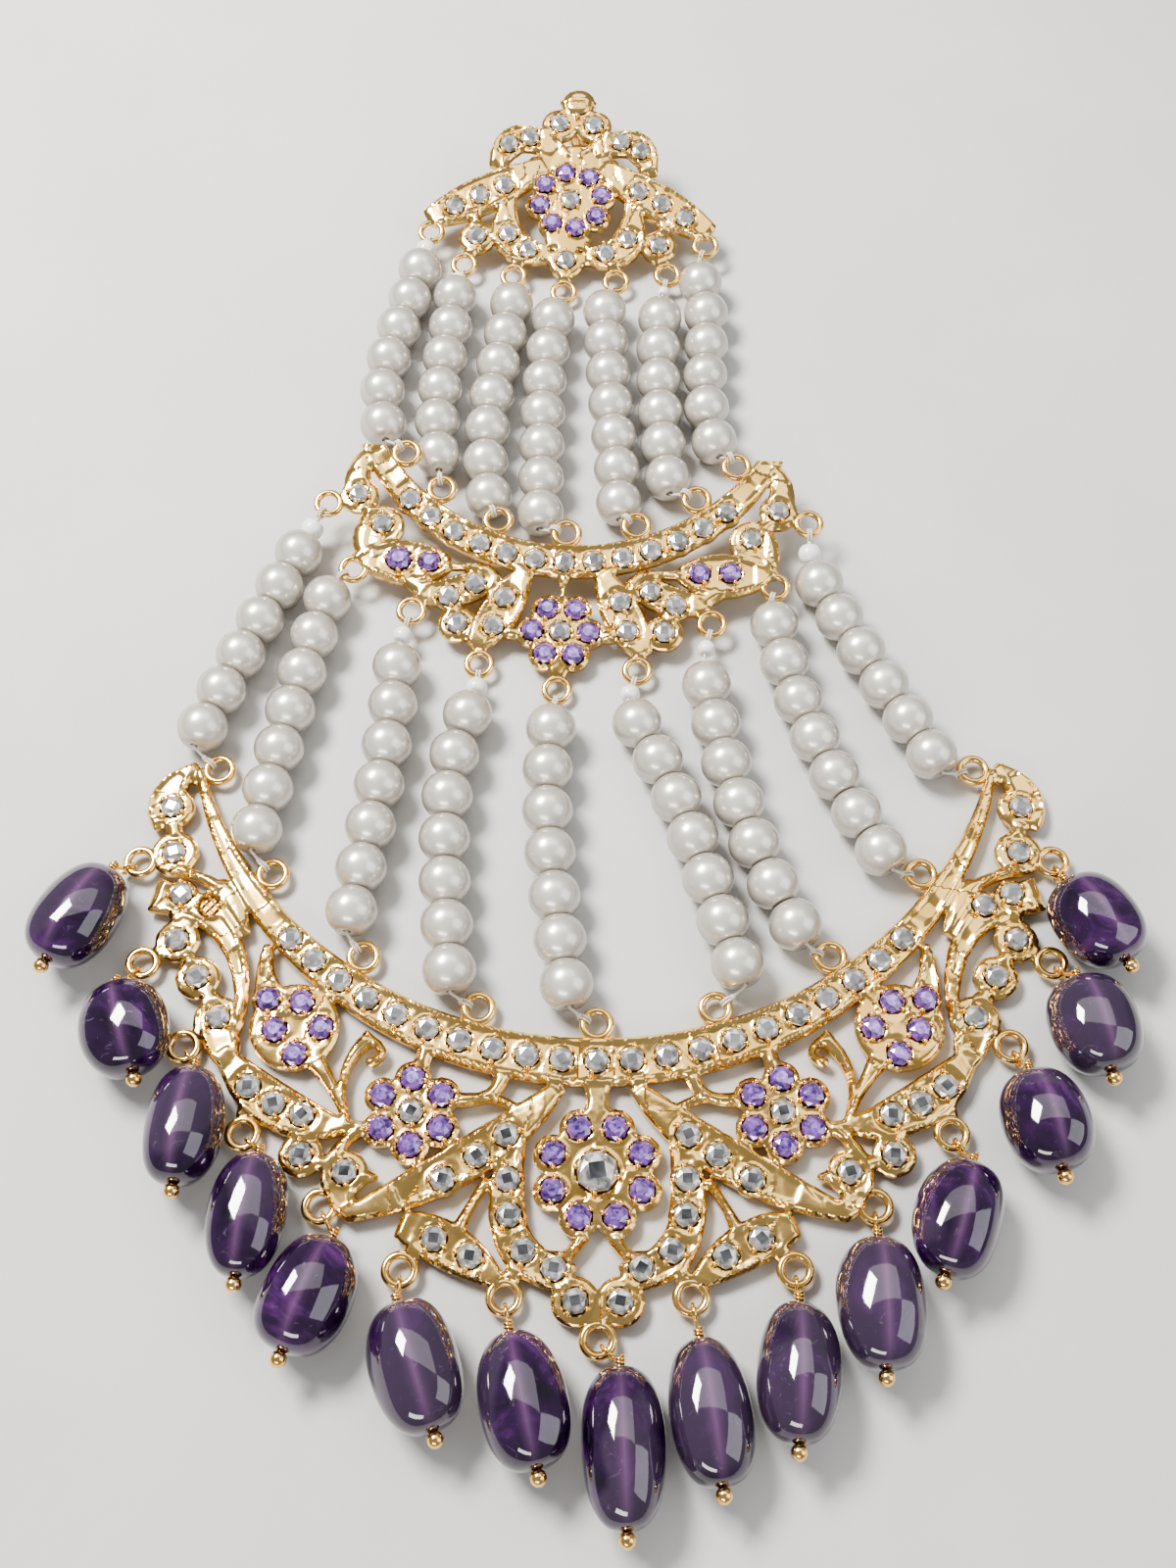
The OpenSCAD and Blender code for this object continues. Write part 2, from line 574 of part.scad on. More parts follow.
module set_stones(places, d = stone_d) {
    for (p = places) translate([p[0], p[1], 0]) rotate(180 / stone_facets) stone(d);
}

module top_violet_stones() {
    color(VIOLET) on(TOP) set_stones(petals(TOP_FLOWER));
}

module middle_violet_stones() {
    color(VIOLET) on(MIDDLE) {
        set_stones(petals(MIDDLE_FLOWER));
        both_sides() set_stones(MIDDLE_VIOLET);
    }
}

module lower_violet_stones() {
    color(VIOLET) on(LOWER) {
        set_stones(petals(LOWER_FLOWER));
        both_sides() set_stones(concat(petals(SIDE_FLOWER), LOWER_VIOLET));
    }
}

module top_clear_stones() {
    color(CLEAR) on(TOP) {
        set_stones(TOP_MIDDLE_CLEAR);
        both_sides() set_stones(TOP_CLEAR);
    }
}

module lower_clear_stones() {
    color(CLEAR) on(LOWER) {
        set_stones(row_stones(LOWER_ROW));
        set_stones([[0, 0]], big_stone_d);
        both_sides() set_stones([[SIDE_FLOWER[0], SIDE_FLOWER[1]]]);
    }
}

module pearl(at, heading) {
    translate(at) rotate([90, 0, heading]) difference() {
        intersection() {
            sphere(d = pearl_d);
            cube([pearl_d + 1, pearl_d + 1, pearl_l], center = true);
        }
        cylinder(h = pearl_l + 1, d = pearl_bore, center = true, $fn = 24);
    }
}

module pearl_string(row) {
    h = headings(row);
    at = pearl_centres(row, h);
    color(PEARL) translate(centre_shift) for (i = [0 : row[2] - 1]) pearl(at[i], h[i]);
}

// Points of a loop round an eye's rim, in the upright plane towards a point, from the far side of
// the loop to the point where the thread leaves it; each comes with the plane's sideways direction
function loop_path(rim, towards, side_sign) =
    let (d = towards - rim, h = unit([d[0], d[1], 0]), rise = atan2(d[2], norm([d[0], d[1]])),
        side = side_sign * [-h[1], h[0], 0])
    [for (k = [loop_steps : -1 : 0])
        let (a = rise - side_sign * k * loop_step)
        [rim + thread_loop_r * (cos(a) * h + sin(a) * [0, 0, 1]), side]];
function reversed(v) = [for (i = [len(v) - 1 : -1 : 0]) v[i]];

// Rings of points round a path of points and sideways directions
function thread_points(path, r) =
    let (n = len(path))
    [for (i = [0 : n - 1], k = [0 : thread_sides - 1])
        let (t = unit(path[min(i + 1, n - 1)][0] - path[max(i - 1, 0)][0]),
            side = unit(path[i][1] - t * (t * path[i][1])),
            a = k * 360 / thread_sides)
        path[i][0] + r * (cos(a) * side + sin(a) * cross(t, side))];

module thread(row, top, top_eye, low, low_eye) {
    h = headings(row);
    at = pearl_centres(row, h);
    reach = pearl_l / 2 + mouth_step;
    first = at[0] - heading_dir(h[0]) * reach;
    last = at[row[2] - 1] + heading_dir(h[row[2] - 1]) * reach;
    pearls = [for (i = [0 : row[2] - 1]) [at[i], [cos(h[i]), sin(h[i]), 0]]];
    path = concat(loop_path(rim_towards(top, top_eye, first), first, 1),
        [[first, pearls[0][1]]], pearls, [[last, pearls[row[2] - 1][1]]],
        reversed(loop_path(rim_towards(low, low_eye, last), last, -1)));
    n = thread_sides;
    rings = len(path);
    polyhedron(thread_points(path, thread_d / 2), concat(
        [[for (i = [0 : n - 1]) i], [for (i = [n - 1 : -1 : 0]) (rings - 1) * n + i]],
        [for (k = [0 : rings - 2], i = [0 : n - 1])
            [k * n + i, (k + 1) * n + i, (k + 1) * n + (i + 1) % n]],
        [for (k = [0 : rings - 2], i = [0 : n - 1])
            [k * n + i, (k + 1) * n + (i + 1) % n, k * n + (i + 1) % n]]));
}

module upper_threads() {
    color(THREAD) translate(centre_shift) for (i = [0 : UPPER_STRINGS - 1])
        thread(UPPER_TABLE[i], TOP, TOP_EYES[i], MIDDLE, MIDDLE_TOP_EYES[i]);
}

module lower_threads() {
    color(THREAD) translate(centre_shift) for (i = [0 : LOWER_STRINGS - 1])
        thread(LOWER_TABLE[i], MIDDLE, MIDDLE_EYES[i], LOWER, LOWER_TOP_EYES[i]);
}

// Direction of a drop's axis, from its eye to its free end
function drop_dir(row) =
    [sin(row[2]) * cos(drop_rise), -cos(row[2]) * cos(drop_rise), sin(drop_rise)];
function rounded(v, power) = sign(v) * pow(abs(v), power);
// A drop's surface as rings round its own Z axis, outside and then back through the drill hole
function drop_points(row) =
    let (half = row[3] / 2, n = drop_sides)
    [for (k = [-1 : drop_rings], i = [0 : n - 1])
        let (a = i * 360 / n,
            hole = k == -1 || k == drop_rings,
            u = -78 + 156 * max(0, min(k, drop_rings - 1)) / (drop_rings - 1),
            z = hole ? sign(u) * half * 0.99 : half * rounded(sin(u), 0.9),
            r = hole ? 0 : pow(cos(u), 0.72) * (1 + row[6] * sin(u)),
            x = hole ? drop_bore / 2 * cos(a) : r * row[5] / 2 * rounded(cos(a), 0.92),
            y = hole ? drop_bore / 2 * sin(a) : r * row[4] / 2 * rounded(sin(a), 0.92))
        [x, y, z]];
// Height of a drop's middle when its lowest point is on the surface that it lies on
function drop_height(row) =
    -min([for (p = drop_points(row)) p[2] * sin(drop_rise) - p[0] * cos(drop_rise)]);
function drop_middle(row) = [row[0], row[1], drop_height(row)];

module amethyst_drop(row) {
    n = drop_sides;
    rings = drop_rings + 2;
    middle = drop_middle(row);
    color(AMETHYST) translate(centre_shift) along(middle, middle + drop_dir(row))
        polyhedron(drop_points(row), concat(
            [for (k = [0 : rings - 1], i = [0 : n - 1])
                [k * n + i, ((k + 1) % rings) * n + i, ((k + 1) % rings) * n + (i + 1) % n]],
            [for (k = [0 : rings - 1], i = [0 : n - 1])
                [k * n + i, ((k + 1) % rings) * n + (i + 1) % n, k * n + (i + 1) % n]]));
}

// A closed wire loop round the middle of an eye's rim, upright and in line with a point
module rim_loop(rim, towards, r, wire) {
    d = towards - rim;
    translate(rim) rotate([90, 0, atan2(d[1], d[0])])
        rotate_extrude() translate([r, 0]) circle(d = wire, $fn = 24);
}

module head_pin(row, eye) {
    middle = drop_middle(row);
    dir = drop_dir(row);
    mouth = middle - dir * (row[3] / 2 + mouth_step);
    free_end = middle + dir * (row[3] / 2 + pin_ball / 2 - mouth_step);
    rim = rim_towards(LOWER, eye, mouth);
    neck_end = mouth - dir * wrap_l / 4;
    shank_start = mouth - dir * wrap_l / 16;
    loop_end = rim + pin_loop_r * unit(neck_end - rim);
    color(GOLD) translate(centre_shift) {
        rim_loop(rim, mouth, pin_loop_r, pin_wire);
        along(loop_end, neck_end)
            cylinder(h = norm(neck_end - loop_end), d = pin_wire * neck_share, $fn = 24);
        along(mouth - dir * wrap_l / 2, mouth)
            cylinder(h = wrap_l * 0.7, r = wrap_r, $fn = 24);
        along(shank_start, free_end)
            cylinder(h = norm(free_end - shank_start), d = pin_wire, $fn = 24);
        translate(free_end) sphere(d = pin_ball, $fn = 24);
    }
}

top_plate();
middle_plate();
lower_plate();
bail();
top_violet_stones();
middle_violet_stones();
lower_violet_stones();
top_clear_stones();
lower_clear_stones();
upper_threads();
lower_threads();
for (i = [1 : UPPER_STRINGS])
    pearl_string(UPPER_TABLE[i - 1]);
for (i = [1 : LOWER_STRINGS])
    pearl_string(LOWER_TABLE[i - 1]);
for (i = [1 : DROPS])
    amethyst_drop(DROP_TABLE[i - 1]);
for (i = [1 : DROPS])
    head_pin(DROP_TABLE[i - 1], LOWER_EYES[i - 1]);
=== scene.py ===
"""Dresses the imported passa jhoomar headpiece: bright-cut castings, stones, pearls, drops and pins."""
import math
import bmesh
import bpy
import numpy as np
from mathutils import Matrix, Vector
from mathutils.bvhtree import BVHTree
from mathutils.kdtree import KDTree


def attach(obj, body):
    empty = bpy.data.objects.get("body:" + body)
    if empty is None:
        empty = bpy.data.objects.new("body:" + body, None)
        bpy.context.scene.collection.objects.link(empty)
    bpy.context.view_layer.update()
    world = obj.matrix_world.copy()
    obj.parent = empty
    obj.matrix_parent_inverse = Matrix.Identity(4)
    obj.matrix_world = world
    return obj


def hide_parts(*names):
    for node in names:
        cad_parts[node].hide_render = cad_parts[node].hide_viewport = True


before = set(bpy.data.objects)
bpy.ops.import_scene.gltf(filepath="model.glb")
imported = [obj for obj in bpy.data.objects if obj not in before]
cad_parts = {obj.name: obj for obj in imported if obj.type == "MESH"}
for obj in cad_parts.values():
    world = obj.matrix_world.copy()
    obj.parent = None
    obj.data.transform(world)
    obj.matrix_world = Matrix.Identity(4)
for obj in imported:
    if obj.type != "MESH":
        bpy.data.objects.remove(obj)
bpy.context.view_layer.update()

MM = 0.001
rng = np.random.default_rng(7)

# Where each plate's own frame sits, in mm and degrees, as in the part's source
CENTRE_SHIFT = Vector((0.26, -12.6, 0))
PLATES = {
    "top_plate": (Vector((-2.2, 81.4, 4.65)), 13, -4),
    "middle_plate": (Vector((-3.1, 17.8, 2.6)), 8, -3),
    "lower_plate": (Vector((0.9, -42.5, 1.7)), 0, 0),
}
PLATE_T = 0.9
# Wire eyes and flat eyes: radius of the ring and of its wire, in mm
EYE_R = 1.4
EYE_WIRE = 0.42
FLAT_EYE_R = 1.365
FLAT_EYE_WIRE = 0.385
EYE_DROP = PLATE_T / 2
# Radii of stones in mm; a solid wider than BIG_STONE_SPAN is a big stone
SMALL_STONE_R = 1.2
BIG_STONE_R = 2.0
BIG_STONE_SPAN = 3.2
# The middle plate's violet stone left of this x is larger than its twin
LEFT_STONE_R = 1.4
LEFT_STONE_X = -17

# Clear stones that the solids leave as open seats, right half. Columns: x, y in mm
LOWER_CLEAR = [
    (45.1, 38.9), (44.3, 33.6), (43, 28.9), (40, 27.6), (42.9, 23.8), (40.4, 19.8), (37.9, 15.5),
    (34.2, 8.4), (31.6, 6.7), (28.7, 5.6), (28.6, 1.7), (24.2, 0), (8.8, 3.6), (11.6, 1.6),
    (14.8, -0.7), (8.6, -0.7), (8.4, -4.1), (7, -7.4), (4.1, -9), (12, -7.9), (15.4, -6.3), (2.1, -12),
]
EMPTY_SEAT = (-40, 27.6)
MIDDLE_CLEAR = [(24.1, 16.2), (21.1, 12.5), (9.9, 5.4), (12.8, 3.8), (11.6, 0.5), (6.5, 3.9), (7.5, 0.4)]
# A row of stones along the middle crescent: radius, its middle's y, step angle, stones each side
MIDDLE_ROW = (26.6, 35.2, 7.17, 6)
# Eyes, right half. Columns: x, y
TOP_EYES = [(6.5, -11), (12.9, -9.7), (17.5, -5.3)]
MIDDLE_EYES = [(8.8, -4.2), (16.9, 1.9), (23.9, 6.8), (27.6, 15)]
LOWER_EYES = [
    (8.7, -11.6), (18.5, -9.1), (26.4, -3.2), (34.4, 3.8), (41.1, 12.6), (46.2, 21.4), (47.8, 32.7),
]
# Eyes along the inside of a crescent: circle radius, its middle's y, angles
MIDDLE_STRING_EYES = (24.0, 36.4, (19.3, 37.8, 53))
LOWER_STRING_EYES = (43.1, 58, (16, 33.5, 51.7, 70.4))
# Small white beads at the top of some strings: string and bead diameter in mm
SEEDS_UPPER = {1: 2.6, 2: 2.0, 6: 1.6}
SEEDS_LOWER = {1: 2.6, 3: 2.2, 4: 2.4, 6: 2.2, 7: 2.0, 9: 2.6}


def mirrored(half, middle=()):
    return [(-x, y) for x, y in reversed(half)] + list(middle) + list(half)


def arc_eyes(arc):
    radius, y, angles = arc
    half = [(radius * math.sin(math.radians(a)), y - radius * math.cos(math.radians(a))) for a in angles]
    return mirrored(half, [(0, y - radius)])


EYES = {
    "top_plate": mirrored(TOP_EYES, [(0, -12.9)]),
    "middle_low": mirrored(MIDDLE_EYES, [(0, -6.9)]),
    "middle_top": arc_eyes(MIDDLE_STRING_EYES),
    "lower_low": mirrored(LOWER_EYES, [(0, -15.4)]),
    "lower_top": arc_eyes(LOWER_STRING_EYES),
}
EYE_GROUPS = {
    "top": ["top_plate"],
    "middle": ["middle_low", "middle_top"],
    "lower": ["lower_low", "lower_top"],
}
FLAT_EYES = ("top_plate", "middle_low")


def plate_matrix(name):
    """Turns a plate's own mm into the headpiece's mm."""
    origin, tilt, turn = PLATES[name]
    return (Matrix.Translation(origin + CENTRE_SHIFT) @ Matrix.Rotation(math.radians(turn), 4, "Z")
            @ Matrix.Rotation(math.radians(tilt), 4, "X"))


# Materials

def node_tree(name):
    mat = bpy.data.materials.new(name)
    mat.use_nodes = True
    tree = mat.node_tree
    return mat, tree, tree.nodes["Principled BSDF"]


def add(tree, kind, **values):
    node = tree.nodes.new(kind)
    for key, value in values.items():
        if key in node.inputs:
            node.inputs[key].default_value = value
        else:
            setattr(node, key, value)
    return node


def set_inputs(shader, **values):
    """Sets a shader's inputs; a low line in a name stands for a space."""
    for key, value in values.items():
        shader.inputs[key.replace("_", " ")].default_value = value


def noise(tree, scale, detail=4.0, rough=0.6, distortion=0.0):
    coords = add(tree, "ShaderNodeTexCoord")
    tex = add(tree, "ShaderNodeTexNoise", Scale=scale, Detail=detail, Roughness=rough,
              Distortion=distortion)
    tree.links.new(coords.outputs["Object"], tex.inputs["Vector"])
    return tex.outputs["Fac"]


def ramp(tree, source, stops):
    node = tree.nodes.new("ShaderNodeValToRGB")
    elements = node.color_ramp.elements
    while len(elements) < len(stops):
        elements.new(0.5)
    for element, (place, colour) in zip(elements, stops):
        element.position = place
        element.color = (*colour, 1)
    tree.links.new(source, node.inputs["Fac"])
    return node.outputs["Color"]


def value_range(tree, source, low, high):
    node = add(tree, "ShaderNodeMapRange")
    node.inputs["To Min"].default_value = low
    node.inputs["To Max"].default_value = high
    tree.links.new(source, node.inputs["Value"])
    return node.outputs["Result"]


def colour_and_gloss(tree, shader, colour, source, low, high):
    """Links the colour, and a roughness from low to high."""
    tree.links.new(colour, shader.inputs["Base Color"])
    tree.links.new(value_range(tree, source, low, high), shader.inputs["Roughness"])


def bump(tree, shader, source, strength, distance):
    node = add(tree, "ShaderNodeBump", Strength=strength, Distance=distance)
    tree.links.new(source, node.inputs["Height"])
    tree.links.new(node.outputs["Normal"], shader.inputs["Normal"])


def mix_colour(tree, factor, a, b, mode="MIX"):
    node = tree.nodes.new("ShaderNodeMix")
    node.data_type = "RGBA"
    node.blend_type = mode
    if isinstance(factor, float):
        node.inputs[0].default_value = factor
    else:
        tree.links.new(factor, node.inputs[0])
    for value, socket in ((a, node.inputs[6]), (b, node.inputs[7])):
        if isinstance(value, tuple):
            socket.default_value = (*value, 1)
        else:
            tree.links.new(value, socket)
    return node.outputs[2]


def gold_casting():
    mat, tree, shader = node_tree("cast_gold")
    broad = ramp(tree, noise(tree, 220, 3), [(0.3, (0.95, 0.60, 0.19)), (0.7, (1.0, 0.71, 0.29))])
    # Painted shade: the metal mixes towards this brown where the casting lies low, under the stones and on
    # its walls
    depth = add(tree, "ShaderNodeAttribute", attribute_name="recess")
    colour = mix_colour(tree, depth.outputs["Fac"], broad, (0.46, 0.26, 0.075))
    set_inputs(shader, Metallic=1.0)
    colour_and_gloss(tree, shader, colour, noise(tree, 900, 2), 0.10, 0.24)
    bump(tree, shader, noise(tree, 2600, 2, 0.65), 0.10, 0.00004)
    return mat


def gold_wire():
    mat, tree, shader = node_tree("gold_wire")
    colour = ramp(tree, noise(tree, 400, 3), [(0.35, (0.95, 0.60, 0.20)), (0.7, (1.0, 0.71, 0.30))])
    set_inputs(shader, Metallic=1.0)
    colour_and_gloss(tree, shader, colour, noise(tree, 1500, 2), 0.10, 0.24)
    bump(tree, shader, noise(tree, 5000, 1), 0.15, 0.00003)
    return mat


def pearl_material():
    mat, tree, shader = node_tree("pearl_lustre_and_painted_rim_shade")
    body = ramp(tree, noise(tree, 260, 3), [(0.3, (0.69, 0.655, 0.59)), (0.7, (0.78, 0.745, 0.68))])
    # Painted shade: the colour darkens towards the pearl's rim, where it turns away from view
    edge = add(tree, "ShaderNodeLayerWeight", Blend=0.4)
    colour = mix_colour(tree, edge.outputs["Facing"], body, (0.24, 0.20, 0.155))
    colour_and_gloss(tree, shader, colour, noise(tree, 800, 2), 0.26, 0.36)
    set_inputs(shader, Metallic=0.4, Coat_Weight=1.0, Coat_Roughness=0.05)
    bump(tree, shader, noise(tree, 1800, 2), 0.12, 0.00004)
    return mat


def seed_material():
    mat, tree, shader = node_tree("seed_white")
    body = ramp(tree, noise(tree, 900, 3), [(0.3, (0.80, 0.79, 0.76)), (0.7, (0.92, 0.91, 0.89))])
    tree.links.new(body, shader.inputs["Base Color"])
    set_inputs(shader, Roughness=0.22, Coat_Weight=0.5)
    bump(tree, shader, noise(tree, 3000, 3), 0.1, 0.00003)
    return mat


def thread_material():
    mat, tree, shader = node_tree("twisted_thread")
    coords = add(tree, "ShaderNodeTexCoord")
    wave = add(tree, "ShaderNodeTexWave", Scale=2200.0, Distortion=1.5)
    tree.links.new(coords.outputs["Object"], wave.inputs["Vector"])
    colour = ramp(tree, wave.outputs["Fac"], [(0.2, (0.62, 0.56, 0.47)), (0.8, (0.86, 0.82, 0.74))])
    tree.links.new(colour, shader.inputs["Base Color"])
    set_inputs(shader, Roughness=0.7)
    bump(tree, shader, wave.outputs["Fac"], 0.5, 0.00005)
    return mat


def stone_material(name, dark, light, metallic, scale):
    mat, tree, shader = node_tree(name)
    # The hue is the stone's own colour; the noise between dark and light paints glints and dark facets into
    # it, as painted sparkle
    colour = ramp(tree, noise(tree, scale, 2, 0.5, 0.4), [(0.32, dark), (0.68, light)])
    colour_and_gloss(tree, shader, colour, noise(tree, 2500, 3), 0.02, 0.09)
    set_inputs(shader, Metallic=metallic, Coat_Weight=1.0, Coat_Roughness=0.03, Coat_IOR=2.0)
    return mat


def amethyst_material():
    mat, tree, shader = node_tree("amethyst")
    cloud = noise(tree, 150, 6, 0.6, 1.6)
    body = ramp(tree, cloud, [(0.30, (0.005, 0.001, 0.009)), (0.52, (0.022, 0.004, 0.036)),
                              (0.76, (0.11, 0.028, 0.155))])
    # Greyer parts with a clear border, as growth zones lie in the stone
    zone = ramp(tree, noise(tree, 75, 1, 0.4, 0.3), [(0.50, (0, 0, 0)), (0.535, (0.7, 0.7, 0.7))])
    body = mix_colour(tree, zone, body, (0.046, 0.029, 0.056))
    streak = add(tree, "ShaderNodeAttribute", attribute_name="streak")
    body = mix_colour(tree, value_range(tree, streak.outputs["Fac"], 0.0, 0.5), body, (0.19, 0.09, 0.20))
    veil = ramp(tree, noise(tree, 420, 8, 0.7, 2.5), [(0.60, (0, 0, 0)), (0.80, (0.13, 0.11, 0.16))])
    body = mix_colour(tree, 1.0, body, veil, "ADD")
    colour_and_gloss(tree, shader, body, noise(tree, 700, 4), 0.03, 0.10)
    set_inputs(shader, IOR=1.55, Coat_Weight=1.0, Coat_Roughness=0.02)
    bump(tree, shader, noise(tree, 260, 3), 0.12, 0.0003)
    return mat


def floor_material():
    mat, tree, shader = node_tree("pale_floor")
    colour = ramp(tree, noise(tree, 30, 4), [(0.3, (0.56, 0.55, 0.535)), (0.7, (0.60, 0.59, 0.575))])
    tree.links.new(colour, shader.inputs["Base Color"])
    set_inputs(shader, Roughness=0.75)
    return mat


GOLD = gold_casting()
WIRE = gold_wire()
PEARL = pearl_material()
SEED = seed_material()
THREAD = thread_material()
VIOLET = stone_material("violet_stone", (0.025, 0.005, 0.10), (0.33, 0.15, 0.58), 0.3, 1600)
VIOLET_TABLE = stone_material("violet_table", (0.05, 0.012, 0.15), (0.44, 0.26, 0.74), 0.35, 1900)
CLEAR = stone_material("clear_stone", (0.13, 0.13, 0.13), (0.62, 0.61, 0.59), 0.4, 1100)
# The clear stone's table is painted near black: a painted dark reflection
CLEAR_TABLE = stone_material("clear_table", (0.03, 0.033, 0.036), (0.17, 0.18, 0.19), 0.5, 500)
AMETHYST = amethyst_material()


# Meshes

class Shape:
    """Gathers points in mm and faces from many small forms into one piece."""

    def __init__(self):
        self.points, self.faces, self.slots, self.count = [], [], [], 0

    def put(self, points, faces, slot=0):
        """Adds one form; slot is its material, or a list with one material a face."""
        self.points.extend(tuple(p) for p in points)
        self.faces.extend(tuple(i + self.count for i in f) for f in faces)
        self.slots.extend(slot if isinstance(slot, list) else [slot] * len(faces))
        self.count += len(points)

    def piece(self, name, materials, slot, replaces=(), angle=40, attributes=None):
        mesh = bpy.data.meshes.new(name)
        mesh.from_pydata([tuple(c * MM for c in p) for p in self.points], [], self.faces)
        for mat in materials:
            mesh.materials.append(mat)
        mesh.polygons.foreach_set("material_index", self.slots)
        mesh.shade_smooth()
        mesh.set_sharp_from_angle(angle=math.radians(angle))
        for key, values in (attributes or {}).items():
            layer = mesh.attributes.new(key, "FLOAT", "POINT")
            layer.data.foreach_set("value", values)
        mesh.update()
        obj = bpy.data.objects.new(name, mesh)
        bpy.context.scene.collection.objects.link(obj)
        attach(obj, "root")
        if replaces:
            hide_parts(*replaces)
        return obj


def bands(rings, sides, closed=False):
    """Four-sided faces between each ring of corners and the next."""
    faces = []
    for i in range(rings if closed else rings - 1):
        j = (i + 1) % rings
        for k in range(sides):
            m = (k + 1) % sides
            faces.append((i * sides + k, i * sides + m, j * sides + m, j * sides + k))
    return faces


def tube(shape, path, radius, sides, closed=False):
    """A round wire along a path."""
    n = len(path)
    tangents = []
    for i in range(n):
        a = path[(i - 1) % n] if closed or i else path[0]
        b = path[(i + 1) % n] if closed or i < n - 1 else path[-1]
        tangents.append((b - a).normalized())
    side = tangents[0].orthogonal().normalized()
    points = []
    for i in range(n):
        side = (side - tangents[i] * side.dot(tangents[i])).normalized()
        up = tangents[i].cross(side)
        for k in range(sides):
            a = 2 * math.pi * k / sides
            points.append(path[i] + radius * (side * math.cos(a) + up * math.sin(a)))
    faces = bands(n, sides, closed)
    if not closed:
        faces.append(tuple(range(sides - 1, -1, -1)))
        faces.append(tuple((n - 1) * sides + k for k in range(sides)))
    shape.put(points, faces)


def ring_path(middle, u, v, radius, steps, start=0.0, turns=1.0):
    angles = [start + 2 * math.pi * turns * i / steps for i in range(steps)]
    return [middle + radius * (u * math.cos(a) + v * math.sin(a)) for a in angles]


def ball(shape, middle, radius, sides, rings, squash=1.0):
    points = []
    for r in range(1, rings):
        t = math.pi * r / rings
        for k in range(sides):
            a = 2 * math.pi * k / sides
            local = Vector((math.sin(t) * math.cos(a), math.sin(t) * math.sin(a), math.cos(t) * squash))
            points.append(middle + radius * local)
    pole = Vector((0, 0, radius * squash))
    points += [middle + pole, middle - pole]
    top, low = len(points) - 2, len(points) - 1
    faces = []
    for k in range(sides):
        m = (k + 1) % sides
        faces.append((top, k, m))
        faces.append((low, (rings - 2) * sides + m, (rings - 2) * sides + k))
        for r in range(rings - 2):
            faces.append((r * sides + k, (r + 1) * sides + k, (r + 1) * sides + m, r * sides + m))
    shape.put(points, faces)


def node_arrays(name):
    """A CAD node's points in mm, and its triangles."""
    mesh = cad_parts[name].data
    mesh.calc_loop_triangles()
    points = np.zeros(len(mesh.vertices) * 3)
    mesh.vertices.foreach_get("co", points)
    triangles = np.zeros(len(mesh.loop_triangles) * 3, int)
    mesh.loop_triangles.foreach_get("vertices", triangles)
    return points.reshape(-1, 3) / MM, triangles.reshape(-1, 3)


# Points of a solid that agree to this many decimals of a mm are one point
SAME_POINT_DECIMALS = 3


def islands(name):
    """The loose solids of a CAD node: points and triangles of each."""
    points, triangles = node_arrays(name)
    keys, index = np.unique(np.round(points, SAME_POINT_DECIMALS), axis=0, return_inverse=True)
    index = index.ravel()
    triangles = index[triangles]
    label = np.arange(len(keys))
    while True:
        low = label[triangles].min(1)
        before = label.copy()
        for k in range(3):
            np.minimum.at(label, triangles[:, k], low)
        label = label[label]
        if np.array_equal(before, label):
            break
    found = []
    for value in np.unique(label[triangles[:, 0]]):
        used = triangles[label[triangles[:, 0]] == value]
        ids = np.unique(used)
        remap = {old: new for new, old in enumerate(ids)}
        found.append((keys[ids], np.array([[remap[i] for i in t] for t in used])))
    return found


# Castings: the CAD plate's outline and relief, carved with bright cuts

# Steps of the casting's grid, and of the finer one on which the solid's heights are read, in mm
GRID = 0.2
FINE = 0.1
READ_MARGIN = 0.6
READ_FROM = 6.0
# Keeps the rays off the edges of the solid's triangles
RAY_SHIFT = (0.0013, 0.0017)
# Heights between which metal belongs to an eye, and above which it belongs to a raised rim
EYE_TOP = -0.015
EYE_FOOT = -0.5
RIM_FOOT = 0.15
# Metal filled in round a stone, and how far the masks are blurred, in mm
SEAT_BORDER = 0.45
OUTLINE_BLUR = 0.12
RELIEF_BLUR = 0.13
# The outline cuts no side of a cell nearer to its end than this share
END_SHARE = 0.04

# Bright cuts are 1 / CUT_LENGTH times as long as they are wide, and tip by up to CUT_TIP each way
CUT_LENGTH = 0.35
CUT_TIP = 0.19
CUT_DEPTH = 0.12
# They are full this far from an edge, and keep the share CUT_LEAST at an edge or beside a stone
CUT_FULL_AT = 0.55
CUT_LEAST = 0.25
# Towards a stone they fade over CALM_REACH mm, and stay low in the last CALM_FROM mm
CALM_FROM = 0.25
CALM_REACH = 0.5

# The rest of the relief: heights over the plate's face and reaches from an edge or a stone, in mm
RIDGE_SLOPE = 0.08
RIDGE_REACH = 0.7
RIM_RISE = 0.20
EDGE_FALL = 0.26
EDGE_REACH = 0.34
COLLAR_RISE = 0.10
COLLAR_OUT = 0.22
COLLAR_WIDTH = 0.14
WELL_OUT = 0.02
WELL_Z = -0.12
EMPTY_Z = -0.3
EMPTY_ROUGH = 0.12
LOWEST = -0.5
HIGHEST = 0.62
# Nicks in the borders: step in mm, depth in mm, half width as a share of the step, and their sway
NICK_STEP = 2.3
NICK_DEPTH = 0.02
NICK_WIDTH = 0.12
NICK_SWAY = 0.4

# How dark the metal is painted as shade, from 0 to 1. On the face it is DARK_SHARE of FACE_DARK, less
# the rims and the cuts' heights, so lower places are darker; the seats, the empty seat and the walls have
# values of their own
FACE_DARK = 0.30
CUT_DARK = 2.5
DARK_SHARE = 0.5
WELL_DARK = 0.7
EMPTY_DARK = 1.0
WALL_DARK = 0.5
# Distance in mm from which on a stone no longer counts
FAR = 9.0


